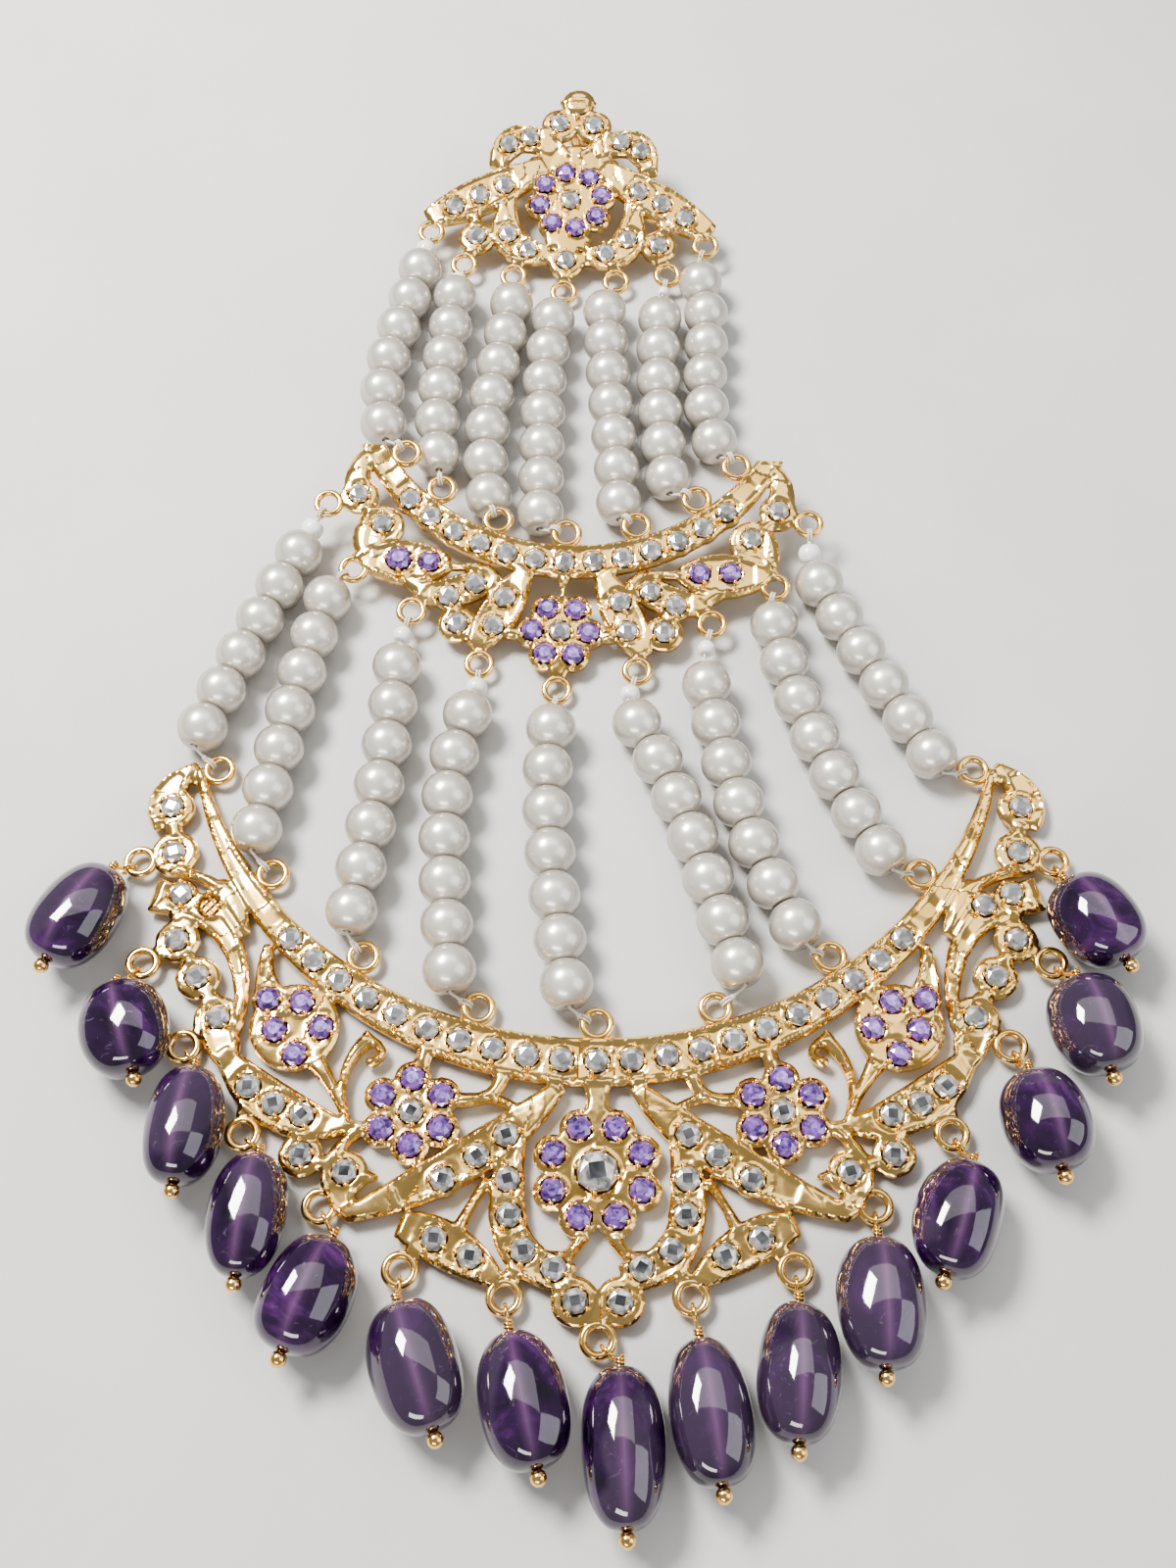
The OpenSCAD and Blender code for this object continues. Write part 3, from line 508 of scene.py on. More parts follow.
def blurred(field, sigma, step):
    reach = max(1, int(3 * sigma / step))
    kernel = np.exp(-0.5 * (np.arange(-reach, reach + 1) * step / sigma) ** 2)
    kernel /= kernel.sum()
    for axis in (0, 1):
        field = np.apply_along_axis(lambda row: np.convolve(row, kernel, mode="same"), axis, field)
    return field


def plate_heights(name):
    """Heights of a plate's upper side on a fine grid in its own frame; NaN outside."""
    points, triangles = node_arrays(name)
    back = plate_matrix(name).inverted()
    local = [back @ Vector(p) for p in points]
    tree = BVHTree.FromPolygons(local, [tuple(int(i) for i in t) for t in triangles])
    low = np.array([min(p[k] for p in local) for k in range(2)]) - READ_MARGIN
    high = np.array([max(p[k] for p in local) for k in range(2)]) + READ_MARGIN
    xs = np.arange(low[0], high[0], FINE)
    ys = np.arange(low[1], high[1], FINE)
    down = Vector((0, 0, -1))
    heights = np.full((len(ys), len(xs)), np.nan)
    for j, y in enumerate(ys):
        for i, x in enumerate(xs):
            hit = tree.ray_cast(Vector((x + RAY_SHIFT[0], y + RAY_SHIFT[1], READ_FROM)), down)[0]
            if hit is not None:
                heights[j, i] = hit.z
    return xs, ys, heights


def contour_cells(inside):
    """Cells of the grid cut at the value 0.5: corner places, faces, and which corners lie on the cut."""
    faces, where, edge_points, grid_points = [], [], {}, {}

    def corner(j, i):
        if (j, i) not in grid_points:
            grid_points[j, i] = len(where)
            where.append((float(i), float(j)))
        return grid_points[j, i]

    def cut(a, b):
        key = (a, b) if a < b else (b, a)
        if key not in edge_points:
            fa, fb = inside[key[0]], inside[key[1]]
            t = min(max((0.5 - fa) / (fb - fa), END_SHARE), 1 - END_SHARE)
            (row, column), (next_row, next_column) = key
            edge_points[key] = len(where)
            where.append((column + t * (next_column - column), row + t * (next_row - row)))
        return edge_points[key]

    full = inside > 0.5
    any_in = full[:-1, :-1] | full[1:, :-1] | full[:-1, 1:] | full[1:, 1:]
    for j, i in zip(*np.nonzero(any_in)):
        ring = [(j, i), (j, i + 1), (j + 1, i + 1), (j + 1, i)]
        polygon = []
        for k in range(4):
            a, b = ring[k], ring[(k + 1) % 4]
            if full[a]:
                polygon.append(corner(*a))
            if full[a] != full[b]:
                polygon.append(cut(a, b))
        if len(polygon) > 2:
            faces.append(tuple(polygon))
    return np.array(where), faces, sorted(edge_points.values())


def boundary_edges(faces):
    count = {}
    for f in faces:
        for k in range(len(f)):
            a, b = f[k], f[(k + 1) % len(f)]
            if (b, a) in count:
                del count[b, a]
            else:
                count[a, b] = True
    return list(count)


def search_tree(points):
    """Finds the nearest of some flat points."""
    tree = KDTree(len(points))
    for i, (x, y) in enumerate(points):
        tree.insert((x, y, 0), i)
    tree.balance()
    return tree


def plate_masks(name, stones):
    """Corner of the casting's grid, and on it two soft masks: metal with filled seats, and rims."""
    xs, ys, heights = plate_heights(name)
    metal = np.isfinite(heights)
    eye = metal & (heights < EYE_TOP) & (heights > EYE_FOOT)
    solid = (metal & ~eye).astype(float)
    raised = (metal & (heights > RIM_FOOT)).astype(float)
    gx, gy = np.meshgrid(xs, ys)
    for x, y, r in stones:
        near = (gx - x) ** 2 + (gy - y) ** 2 < (r + SEAT_BORDER) ** 2
        solid[near] = 1.0
        raised[near] = 0.0
    skip = int(round(GRID / FINE))
    inside = blurred(solid, OUTLINE_BLUR, FINE)[::skip, ::skip]
    relief = blurred(raised, RELIEF_BLUR, FINE)[::skip, ::skip]
    return (xs[0], ys[0]), inside, relief


def bright_cuts(angle, radius, cut_size, nick_centre):
    """Heights of long flats that run out from the middle, each tipped its own way."""
    round_way, out_way = angle * nick_centre, radius * CUT_LENGTH
    total = int(np.ptp(round_way) * np.ptp(out_way) / cut_size ** 2)
    seeds = np.column_stack([rng.uniform(round_way.min(), round_way.max(), total),
                             rng.uniform(out_way.min(), out_way.max(), total)])
    tips = rng.uniform(-CUT_TIP, CUT_TIP, (total, 2))
    cells = search_tree(seeds)
    owner = np.array([cells.find((a, b, 0))[1] for a, b in zip(round_way, out_way)])
    flats = (round_way - seeds[owner, 0]) * tips[owner, 0] + (out_way - seeds[owner, 1]) * tips[owner, 1]
    return np.clip(flats, -CUT_DEPTH, CUT_DEPTH)


def cast_plate(name, stones, cut_size, nick_centre):
    """A plate's casting with rounded edges, raised rims, bright-cut faces and nicked borders."""
    corner, inside, relief = plate_masks(name, stones)
    where, faces, cuts = contour_cells(inside)
    x = corner[0] + where[:, 0] * GRID
    y = corner[1] + where[:, 1] * GRID
    iy = np.clip(np.round(where[:, 1]).astype(int), 0, relief.shape[0] - 1)
    ix = np.clip(np.round(where[:, 0]).astype(int), 0, relief.shape[1] - 1)
    raise_at = relief[iy, ix]
    edge = search_tree([(x[c], y[c]) for c in cuts])
    away = np.array([edge.find((a, b, 0))[2] for a, b in zip(x, y)])
    near = np.full(len(x), FAR)
    for a, b, r in stones:
        near = np.minimum(near, np.hypot(x - a, y - b) - r)
    angle = np.arctan2(x, nick_centre - y)
    radius = np.hypot(x, nick_centre - y)
    flats = bright_cuts(angle, radius, cut_size, nick_centre)
    clear_of_stones = np.clip((near - CALM_FROM) / CALM_REACH, 0, 1)
    ridge = RIDGE_SLOPE * np.clip(away, 0, RIDGE_REACH)
    broad = np.clip(away / CUT_FULL_AT, CUT_LEAST, 1)
    z = (ridge * clear_of_stones + RIM_RISE * raise_at
         + flats * broad * (CUT_LEAST + (1 - CUT_LEAST) * clear_of_stones))
    z -= EDGE_FALL * np.clip(1 - away / EDGE_REACH, 0, 1)
    # Nicks across the raised borders
    nick = np.abs(((angle * radius / NICK_STEP + NICK_SWAY * np.sin(radius * 3)) % 1.0) - 0.5)
    z -= NICK_DEPTH * raise_at * np.clip(1 - nick / NICK_WIDTH, 0, 1)
    # Seats: a raised collar round each stone, and a well under it
    z += COLLAR_RISE * np.exp(-((near - COLLAR_OUT) / COLLAR_WIDTH) ** 2)
    z = np.where(near < WELL_OUT, WELL_Z, z)
    # Painted shade: the face is darker where it lies lower, and darker still in the well under each stone
    recess = np.clip(FACE_DARK - raise_at - CUT_DARK * flats, 0, 1) * DARK_SHARE
    recess = np.where(near < WELL_OUT, WELL_DARK, recess)
    if name == "lower_plate":
        # The empty seat sinks and is painted fully dark, as painted shade
        empty = np.hypot(x - EMPTY_SEAT[0], y - EMPTY_SEAT[1]) < SMALL_STONE_R
        z = np.where(empty, EMPTY_Z + EMPTY_ROUGH * np.sin(7 * x) * np.sin(6 * y + 1), z)
        recess = np.where(empty, EMPTY_DARK, recess)
    z = np.clip(z, LOWEST, HIGHEST)
    to_world = plate_matrix(name)
    top = [to_world @ Vector((a, b, c)) for a, b, c in zip(x, y, z)]
    rim = boundary_edges(faces)
    below = {i: len(top) + k for k, i in enumerate(sorted({i for ends in rim for i in ends}))}
    low = [to_world @ Vector((x[i], y[i], -PLATE_T)) for i in below]
    shape = Shape()
    shape.put(top + low, faces + [(b, a, below[a], below[b]) for a, b in rim])
    # The walls' lower points carry the walls' painted shade
    return shape, np.concatenate([recess, np.full(len(low), WALL_DARK)])


def close_underside(obj, name):
    """Fills the flat underside, holes left open, from the lower edges of the walls."""
    down = plate_matrix(name).to_3x3() @ Vector((0, 0, -1))
    bm = bmesh.new()
    bm.from_mesh(obj.data)
    edges = [e for e in bm.edges if e.is_boundary]
    filled = bmesh.ops.triangle_fill(bm, use_beauty=False, use_dissolve=False, edges=edges, normal=down)
    faces = [g for g in filled["geom"] if isinstance(g, bmesh.types.BMFace)]
    for face in faces:
        if face.normal.dot(down) < 0:
            face.normal_flip()
    bm.to_mesh(obj.data)
    bm.free()


def stone_rows(name):
    """Every stone of a plate in its own frame: x, y, radius, violet or clear."""
    back = plate_matrix(name).inverted()
    key = name.split("_")[0]
    rows = []
    for node, kind in ((key + "_violet_stones", "violet"), (key + "_clear_stones", "clear")):
        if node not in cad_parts:
            continue
        for points, _ in islands(node):
            low, high = points.min(0), points.max(0)
            middle = back @ Vector((low + high) / 2)
            radius = BIG_STONE_R if high[0] - low[0] > BIG_STONE_SPAN else SMALL_STONE_R
            if key == "middle" and kind == "violet" and middle.x < LEFT_STONE_X:
                radius = LEFT_STONE_R
            rows.append((middle.x, middle.y, radius, kind))
    half = {"lower": LOWER_CLEAR, "middle": MIDDLE_CLEAR}.get(key, [])
    rows += [(x, y, SMALL_STONE_R, "clear") for x, y in mirrored(half)]
    if key == "middle":
        radius, y, step, each = MIDDLE_ROW
        for i in range(-each, each + 1):
            a = math.radians(i * step)
            rows.append((radius * math.sin(a), y - radius * math.cos(a), SMALL_STONE_R, "clear"))
        rows.append((0.0, 0.0, SMALL_STONE_R, "clear"))
    return rows


# Stones fill their seats
STONE_FIT = 1.05
STONE_SIDES = 8
# Rings of a stone's cut from the table down: share of the radius, height in mm for a small stone,
# turn in steps of the ring's corners
VIOLET_RINGS = [
    (0.50, 0.62, 0.0), (0.80, 0.44, 0.5), (1.0, 0.20, 0.0), (1.0, 0.10, 0.0), (0.05, -0.42, 0.0),
]
CLEAR_TABLE_RING = (0.52, 0.58, 0.0)
CLEAR_RINGS = [(0.80, 0.46, 0.0), (1.0, 0.16, 0.5), (1.0, 0.06, 0.5), (0.05, -0.42, 0.5)]


def stone_ring(to_world, x, y, r, turn, lift, ring, corners):
    """One ring of a stone's corners, in the headpiece's mm."""
    share, z, step = ring
    reach = share * r * STONE_FIT
    height = z * r / SMALL_STONE_R + lift
    angles = [turn + 2 * math.pi * (i + step) / corners for i in range(corners)]
    return [to_world @ Vector((x + reach * math.cos(a), y + reach * math.sin(a), height)) for a in angles]


def cut_violet(shape, to_world, x, y, r, turn, lift):
    """A round cut: an eight-sided table and crown over a point."""
    n = STONE_SIDES
    points = []
    for ring in VIOLET_RINGS:
        points += stone_ring(to_world, x, y, r, turn, lift, ring, n)
    faces, slots = [tuple(range(n))], [1]
    for i in range(n):
        j = (i + 1) % n
        faces += [(i, n + i, j), (n + i, n + j, j)]
        faces += [(n + i, 2 * n + i, 2 * n + j), (n + i, 2 * n + j, n + j)]
        faces += [(2 * n + i, 3 * n + i, 3 * n + j, 2 * n + j)]
        faces += [(3 * n + i, 4 * n + i, 4 * n + j, 3 * n + j)]
        slots += [0] * 6
    faces.append(tuple(4 * n + i for i in reversed(range(n))))
    slots.append(0)
    shape.put(points, faces, slots)


def cut_clear(shape, to_world, x, y, r, turn, lift):
    """A chequer cut: a square table turned on its corner inside an eight-sided crown."""
    points = stone_ring(to_world, x, y, r, turn, lift, CLEAR_TABLE_RING, 4)
    for ring in CLEAR_RINGS:
        points += stone_ring(to_world, x, y, r, turn, lift, ring, STONE_SIDES)
    n = STONE_SIDES
    crown, girdle, belly, foot = (4 + n * i for i in range(4))
    faces, slots = [(0, 1, 2, 3)], [1]
    for i in range(4):
        j = (i + 1) % 4
        here = crown + 2 * i
        faces += [(i, here, here + 1), (i, here + 1, j), (j, here + 1, crown + (2 * i + 2) % n)]
        slots += [0] * 3
    for i in range(n):
        j = (i + 1) % n
        faces += [(crown + i, girdle + i, crown + j), (girdle + i, girdle + j, crown + j)]
        faces += [(girdle + i, belly + i, belly + j, girdle + j)]
        faces += [(belly + i, foot + i, foot + j, belly + j)]
        slots += [0] * 4
    faces.append(tuple(foot + i for i in reversed(range(n))))
    slots.append(0)
    shape.put(points, faces, slots)


# Prong beads round a stone: radius, reach outside the stone, height on a small stone, in mm
PRONG_R = 0.30
PRONG_OUT = 0.12
PRONG_Z = 0.30
# How far stones stand out of line in height, in mm, and prong beads in angle, in radians
STONE_LIFT = (-0.03, 0.05)
PRONG_SWAY = 0.12
# A seat's radius over its stone's, in mm
SEAT_GAP = 0.02
# Nearer than this to the empty seat's middle, a stone is left out
EMPTY_NEAR = 0.5


def dress_eyes(key, to_world):
    eyes = Shape()
    turn = to_world.to_3x3()
    u, v = turn @ Vector((1, 0, 0)), turn @ Vector((0, 1, 0))
    for group in EYE_GROUPS[key]:
        ring, wire = (FLAT_EYE_R, FLAT_EYE_WIRE) if group in FLAT_EYES else (EYE_R, EYE_WIRE)
        for x, y in EYES[group]:
            middle = to_world @ Vector((x, y, -EYE_DROP))
            tube(eyes, ring_path(middle, u, v, ring, steps=40), wire, sides=12, closed=True)
    eyes.piece(key + "_eyes", [WIRE], "gold", angle=80)


def dress_plate(name, cut_size, nick_centre):
    """The casting, its eyes, prong beads and stones."""
    key = name.split("_")[0]
    to_world = plate_matrix(name)
    rows = stone_rows(name)
    seats = [(x, y, r + SEAT_GAP) for x, y, r, kind in rows]
    shape, recess = cast_plate(name, seats, cut_size, nick_centre)
    casting = shape.piece(name + "_casting", [GOLD], "gold", [name], angle=32, attributes={"recess": recess})
    close_underside(casting, name)
    violet, clear, prongs = Shape(), Shape(), Shape()
    for x, y, r, kind in rows:
        turn = rng.uniform(0, math.pi)
        lift = rng.uniform(*STONE_LIFT)
        if kind == "violet":
            cut_violet(violet, to_world, x, y, r, turn, lift)
        elif key != "lower" or math.hypot(x - EMPTY_SEAT[0], y - EMPTY_SEAT[1]) > EMPTY_NEAR:
            cut_clear(clear, to_world, x, y, r, turn, lift)
        start = rng.uniform(0, math.pi / 2)
        reach = r + PRONG_OUT
        for k in range(4):
            a = start + k * math.pi / 2 + rng.uniform(-PRONG_SWAY, PRONG_SWAY)
            p = Vector((x + reach * math.cos(a), y + reach * math.sin(a), PRONG_Z * r / SMALL_STONE_R))
            ball(prongs, to_world @ p, PRONG_R, sides=8, rings=6, squash=1.1)
    if violet.count:
        violet.piece(key + "_violet_cut_stones", [VIOLET, VIOLET_TABLE], "violet_stone",
                     [key + "_violet_stones"], angle=1)
    made = key + "_clear_stones"
    clear.piece(key + "_clear_cut_stones", [CLEAR, CLEAR_TABLE], "clear_stone",
                [made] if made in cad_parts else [], angle=1)
    prongs.piece(key + "_prong_beads", [WIRE], "gold", angle=80)
    dress_eyes(key, to_world)


# Pearls, threads and seed beads

# Radius of a pearl across its hole and the spread of it, half its length, and its hole, in mm
PEARL_R = 2.735
PEARL_SPREAD = (-0.03, 0.012)
PEARL_HALF = 2.365
PEARL_HOLE_R = 0.42
# Where the thread comes out of the first and last pearl, in mm from the pearl's middle
PEARL_END = 2.5
# A seed bead's hole and its greatest way from the eye's rim, in mm; its half length, and how far
# its middle stays from the pearl's end of the thread, as shares of its size
SEED_HOLE_R = 0.22
SEED_FROM_RIM = 0.95
SEED_HALF = 0.40
SEED_BACK = 0.36
# A drill hole's mouth: depth, rounding and flat border in mm, and how it narrows inwards
HOLE_DEPTH = 0.25
HOLE_ROUND = 0.02
HOLE_BORDER = 0.18
HOLE_TAPER = 0.85
# How far the round skin stops short of the flat end, in mm
END_GRIND = 0.03
PROFILE_STEPS = 22
# Thread, its two loops round an eye's rim with their shift, knot, and the bend's rise, in mm
THREAD_R = 0.15
LOOP_THREAD_R = 0.13
LOOP_R = 0.62
LOOP_SHIFT = 0.16
KNOT_R = 0.30
THREAD_RISE = 0.05
# Shares of the way: between two pearls, from a pearl's end to its middle, from a loop to the pearl
THREAD_BETWEEN = (0.4, 0.6)
THREAD_INTO_PEARL = 0.35
KNOT_AT = 0.12


def flat_axis(points, triangles):
    """Direction of a pearl's drill hole: the two flat ends are its largest plane areas."""
    a, b, c = (points[triangles[:, k]] for k in range(3))
    cross = np.cross(b - a, c - a)
    area = np.linalg.norm(cross, axis=1)
    good = area > 1e-9
    normal = cross[good] / area[good, None]
    keys, index = np.unique(np.round(normal, 2), axis=0, return_inverse=True)
    sums = np.bincount(index.ravel(), area[good])
    return Vector(keys[int(np.argmax(sums))]).normalized()


def pearl_profile(half, radius, hole):
    """Half outline of a pearl from hole to hole, a little dimpled at the ends: along, out."""
    mouth = [(-half + HOLE_DEPTH, hole * HOLE_TAPER), (-half + HOLE_ROUND, hole),
             (-half, hole + HOLE_BORDER)]
    flat = math.acos(min(1.0, (half - END_GRIND) / radius))
    skin = []
    for i in range(PROFILE_STEPS + 1):
        t = -math.pi / 2 + flat + (math.pi - 2 * flat) * i / PROFILE_STEPS
        skin.append((radius * math.sin(t), radius * math.cos(t)))
    return mouth + skin + [(-along, out) for along, out in reversed(mouth)]


def turned(shape, middle, axis, profile, sides):
    """A closed solid turned from a profile whose first and last rows lie in the drill hole."""
    turn = axis.to_track_quat("Z", "Y").to_matrix()
    angles = [2 * math.pi * k / sides for k in range(sides)]
    points = [middle + turn @ Vector((r * math.cos(a), r * math.sin(a), z))
              for z, r in profile for a in angles]
    shape.put(points, bands(len(profile), sides, closed=True))


def pearl_list(node):
    rows = [(Vector((p.min(0) + p.max(0)) / 2), flat_axis(p, t)) for p, t in islands(node)]
    rows.sort(key=lambda row: -row[0].y)
    return rows


def rim_towards(plate, eye, target):
    """Middle of an eye's rim on the side towards a point."""
    to_world = plate_matrix(plate)
    local = to_world.inverted() @ Vector(target)
    d = Vector((local.x - eye[0], local.y - eye[1], 0)).normalized()
    return to_world @ (Vector((eye[0], eye[1], -EYE_DROP)) + EYE_R * d)


def tie_thread(threads, plate, eye, end, inner):
    """Two loops round an eye's rim, and the thread from there, with a knot, into the pearl."""
    rim = rim_towards(plate, eye, end)
    out = (end - rim).normalized()
    flat = Vector((out.x, out.y, 0)).normalized()
    up = Vector((0, 0, 1))
    for offset in (-LOOP_SHIFT, LOOP_SHIFT):
        shift = flat.cross(up) * offset
        loop = ring_path(rim + shift, flat, up, LOOP_R, steps=20)
        tube(threads, loop, LOOP_THREAD_R, sides=6, closed=True)
    start = rim + out * LOOP_R
    bend = start.lerp(end, 0.5) + Vector((0, 0, THREAD_RISE))
    tube(threads, [start, bend, end, end.lerp(inner, THREAD_INTO_PEARL)], THREAD_R, sides=8)
    ball(threads, start.lerp(end, KNOT_AT), KNOT_R, sides=8, rings=6)


def dress_string(node, top, top_eye, low, low_eye, threads, seeds, seed_d):
    pearls = Shape()
    rows = pearl_list(node)
    for middle, axis in rows:
        size = PEARL_R + rng.uniform(*PEARL_SPREAD)
        turned(pearls, middle, axis, pearl_profile(PEARL_HALF, size, PEARL_HOLE_R), sides=32)
    pearls.piece(node.replace("_pearls", "_string_pearls"), [PEARL], "pearl", [node], angle=50)
    for (here, _), (there, _) in zip(rows, rows[1:]):
        tube(threads, [here.lerp(there, share) for share in THREAD_BETWEEN], THREAD_R, sides=8)
    first_axis = rows[0][1] if rows[0][1].y > 0 else -rows[0][1]
    last_axis = rows[-1][1] if rows[-1][1].y < 0 else -rows[-1][1]
    first = rows[0][0] + first_axis * PEARL_END
    last = rows[-1][0] + last_axis * PEARL_END
    tie_thread(threads, top, top_eye, first, rows[0][0])
    tie_thread(threads, low, low_eye, last, rows[-1][0])
    if seed_d:
        rim = rim_towards(top, top_eye, first)
        out = (first - rim).normalized()
        gap = (first - rim).length
        place = rim + out * min(gap - seed_d * SEED_BACK, SEED_FROM_RIM + seed_d / 2)
        turned(seeds, place, out, pearl_profile(seed_d * SEED_HALF, seed_d / 2, SEED_HOLE_R), sides=20)


def dress_strings():
    threads = {"upper": Shape(), "lower": Shape()}
    seeds = Shape()
    for i in range(1, 8):
        dress_string(f"upper_pearls_{i}", "top_plate", EYES["top_plate"][i - 1], "middle_plate",
                     EYES["middle_top"][i - 1], threads["upper"], seeds, SEEDS_UPPER.get(i, 0))
    for i in range(1, 10):
        dress_string(f"lower_pearls_{i}", "middle_plate", EYES["middle_low"][i - 1], "lower_plate",
                     EYES["lower_top"][i - 1], threads["lower"], seeds, SEEDS_LOWER.get(i, 0))
    for key, shape in threads.items():
        shape.piece(key + "_tied_threads", [THREAD], "thread", [key + "_threads"], angle=60)
    seeds.piece("seed_beads", [SEED], "pearl", angle=60)


# Amethyst drops and head pins

# Part of a drop's half length in which its fullness is measured
FULLNESS_FROM = 0.15
FULLNESS_TO = 0.7
DROP_RINGS = 36
DROP_SIDES = 48
DROP_HOLE_R = 0.36
# Powers that make a drop blunter than a ball, along it and across it, and its shares of the solid
ALONG_POWER = 0.94
ACROSS_POWER = 0.74
ALONG_SHARE = 0.995
ACROSS_SHARE = 0.985
# Lumps: height as a share of the half width, number round the drop, twist along it
LUMPS = [(0.022, 2, 1.2), (0.016, 3, -2), (0.014, 1, 2.4), (0.010, 5, 1)]
# Lowest point of a drop over the floor, half width of its pale streak, in mm
FLOOR_GAP = 0.02
STREAK_WIDTH = 0.42
# The drill hole's lining ends at this share of the half length, with this share of the hole's radius
LINING_SHARE = 0.9

# The head pin's wire and its loop round the eye in mm, and the share of a full turn that the loop makes
PIN_R = 0.21
PIN_LOOP_R = 0.76
PIN_LOOP_TURN = 0.93
# In mm: from the drop's end out to the mouth, and from the mouth to the neck and into the drop
PIN_MOUTH = 0.15
PIN_NECK = 0.2
PIN_INTO_DROP = 0.6
# The wrapped neck: radius of the coil and of its wire, turns, steps and longest length
COIL_R = 0.36
COIL_WIRE_R = 0.15
COIL_TURNS = 2.6
COIL_STEPS = 44
COIL_LONGEST = 0.85
COIL_START = 0.02
# The free end: radius of the shank, how far it stands out and reaches in, and radius of the ball
SHANK_R = 0.24
SHANK_OUT = 0.65
SHANK_IN = 1.0
PIN_BALL_R = 0.78


def drop_frame(i):
    """A drop's middle, axes (first to the free end), half sizes, and how much fuller that end is."""
    points = np.unique(np.round(node_arrays(f"amethyst_drop_{i}")[0], SAME_POINT_DECIMALS), axis=0)
    low, high = points.min(0), points.max(0)
    middle = (low + high) / 2
    flat = points - points.mean(0)
    vectors = np.linalg.eigh(flat.T @ flat)[1]
    axis = Vector(vectors[:, 2])
    if axis.y > 0:
        axis = -axis
    side = axis.cross(Vector((0, 0, 1))).normalized()
    up = side.cross(axis).normalized()
    local = (points - middle) @ np.array([tuple(axis), tuple(side), tuple(up)]).T
    centre = Vector(middle)
    mid = (local.min(0) + local.max(0)) / 2
    centre += axis * mid[0] + side * mid[1] + up * mid[2]
    half = (local.max(0) - local.min(0)) / 2
    local = (local - mid) / half
    reach = np.hypot(local[:, 1], local[:, 2])
    ends = [local[:, 0] * s for s in (1, -1)]
    free, tied = (reach[(end > FULLNESS_FROM) & (end < FULLNESS_TO)].mean() for end in ends)
    return centre, axis, side, up, half, 2 * (free - tied) / (free + tied)


def drop_lump(a, u, phase, fuller):
    """How much wider than its even shape a drop is at one place."""
    waves = [rise * math.sin(count * a + phase[k] + twist * u)
             for k, (rise, count, twist) in enumerate(LUMPS)]
    lump = 1 + waves[0] + waves[1] + (waves[2] + waves[3])
    return lump * (ACROSS_SHARE * (1 + fuller * math.sin(u)) / (1 + abs(fuller) * 0.5))


def dress_drop(i):
    """A tumbled amethyst: a smooth uneven nugget with a drill hole, and its head pin."""
    centre, axis, side, up, half, fuller = drop_frame(i)
    # Six draws a drop, of which the lumps use four
    phase = rng.uniform(0, 2 * math.pi, 6)
    angles = [2 * math.pi * k / DROP_SIDES for k in range(DROP_SIDES)]
    points, streak = [], []
    for r in range(DROP_RINGS + 1):
        u = -math.pi / 2 + math.pi * r / DROP_RINGS
        along = half[0] * math.copysign(abs(math.sin(u)) ** ALONG_POWER, math.sin(u))
        out = max(math.cos(u), 0.0) ** ACROSS_POWER
        middle = centre + axis * along * ALONG_SHARE
        for a in angles:
            lump = drop_lump(a, u, phase, fuller)
            across = max(out * half[1] * lump, DROP_HOLE_R) * math.cos(a)
            rise = max(out * half[2] * lump, DROP_HOLE_R) * math.sin(a)
            q = middle + side * across + up * rise
            q.z = max(q.z, FLOOR_GAP)
            points.append(q)
            pale = math.exp(-(across / STREAK_WIDTH) ** 2) * max(math.cos(u), 0)
            streak.append(pale if rise > 0 else 0.0)
    for end in (1, -1):
        middle = centre + axis * end * half[0] * LINING_SHARE
        for a in angles:
            points.append(middle + side * DROP_HOLE_R * LINING_SHARE * math.cos(a)
                          + up * DROP_HOLE_R * LINING_SHARE * math.sin(a))
            streak.append(0.0)
    # The rings are joined outwards, so each face of a band is turned over
    faces = [(a, d, c, b) for a, b, c, d in bands(DROP_RINGS + 3, DROP_SIDES, closed=True)]
    shape = Shape()
    shape.put(points, faces)
    shape.piece(f"amethyst_nugget_{i}", [AMETHYST], "amethyst", [f"amethyst_drop_{i}"], angle=60,
                attributes={"streak": np.array(streak)})
    dress_pin(i, centre, axis, half[0])


def dress_pin(i, centre, axis, half):
    """Loop in the plate's eye, wrapped neck, shank at the free end, and the ball on it."""
    pin = Shape()
    mouth = centre - axis * (half + PIN_MOUTH)
    eye = EYES["lower_low"][i - 1]
    rim = rim_towards("lower_plate", eye, mouth)
    neck = mouth - axis * PIN_NECK
    out = (neck - rim).normalized()
    flat = Vector((out.x, out.y, 0)).normalized()
    start = math.atan2(out.z, out.dot(flat))
    up = Vector((0, 0, 1))
    loop = ring_path(rim, flat, up, PIN_LOOP_R, steps=26, start=start, turns=PIN_LOOP_TURN)
    loop_end = rim + out * PIN_LOOP_R
    path = [mouth + axis * PIN_INTO_DROP, mouth, neck, loop_end.lerp(neck, 0.3)] + loop
    tube(pin, path, PIN_R, sides=10)
    side = axis.orthogonal().normalized()
    other = axis.cross(side)
    coil = []
    length = min(COIL_LONGEST, (neck - loop_end).length + PIN_NECK)
    for k in range(COIL_STEPS + 1):
        t = k / COIL_STEPS
        a = 2 * math.pi * COIL_TURNS * t
        round_wire = COIL_R * (side * math.cos(a) + other * math.sin(a))
        coil.append(mouth + axis * COIL_START - (axis * length * t) + round_wire)
    tube(pin, coil, COIL_WIRE_R, sides=8)
    free = centre + axis * (half + SHANK_OUT)
    tube(pin, [centre + axis * (half - SHANK_IN), free], SHANK_R, sides=10)
    ball(pin, free, PIN_BALL_R, sides=20, rings=14)
    pin.piece(f"head_pin_wire_{i}", [WIRE], "gold", [f"head_pin_{i}"], angle=70)


# Bail and finial

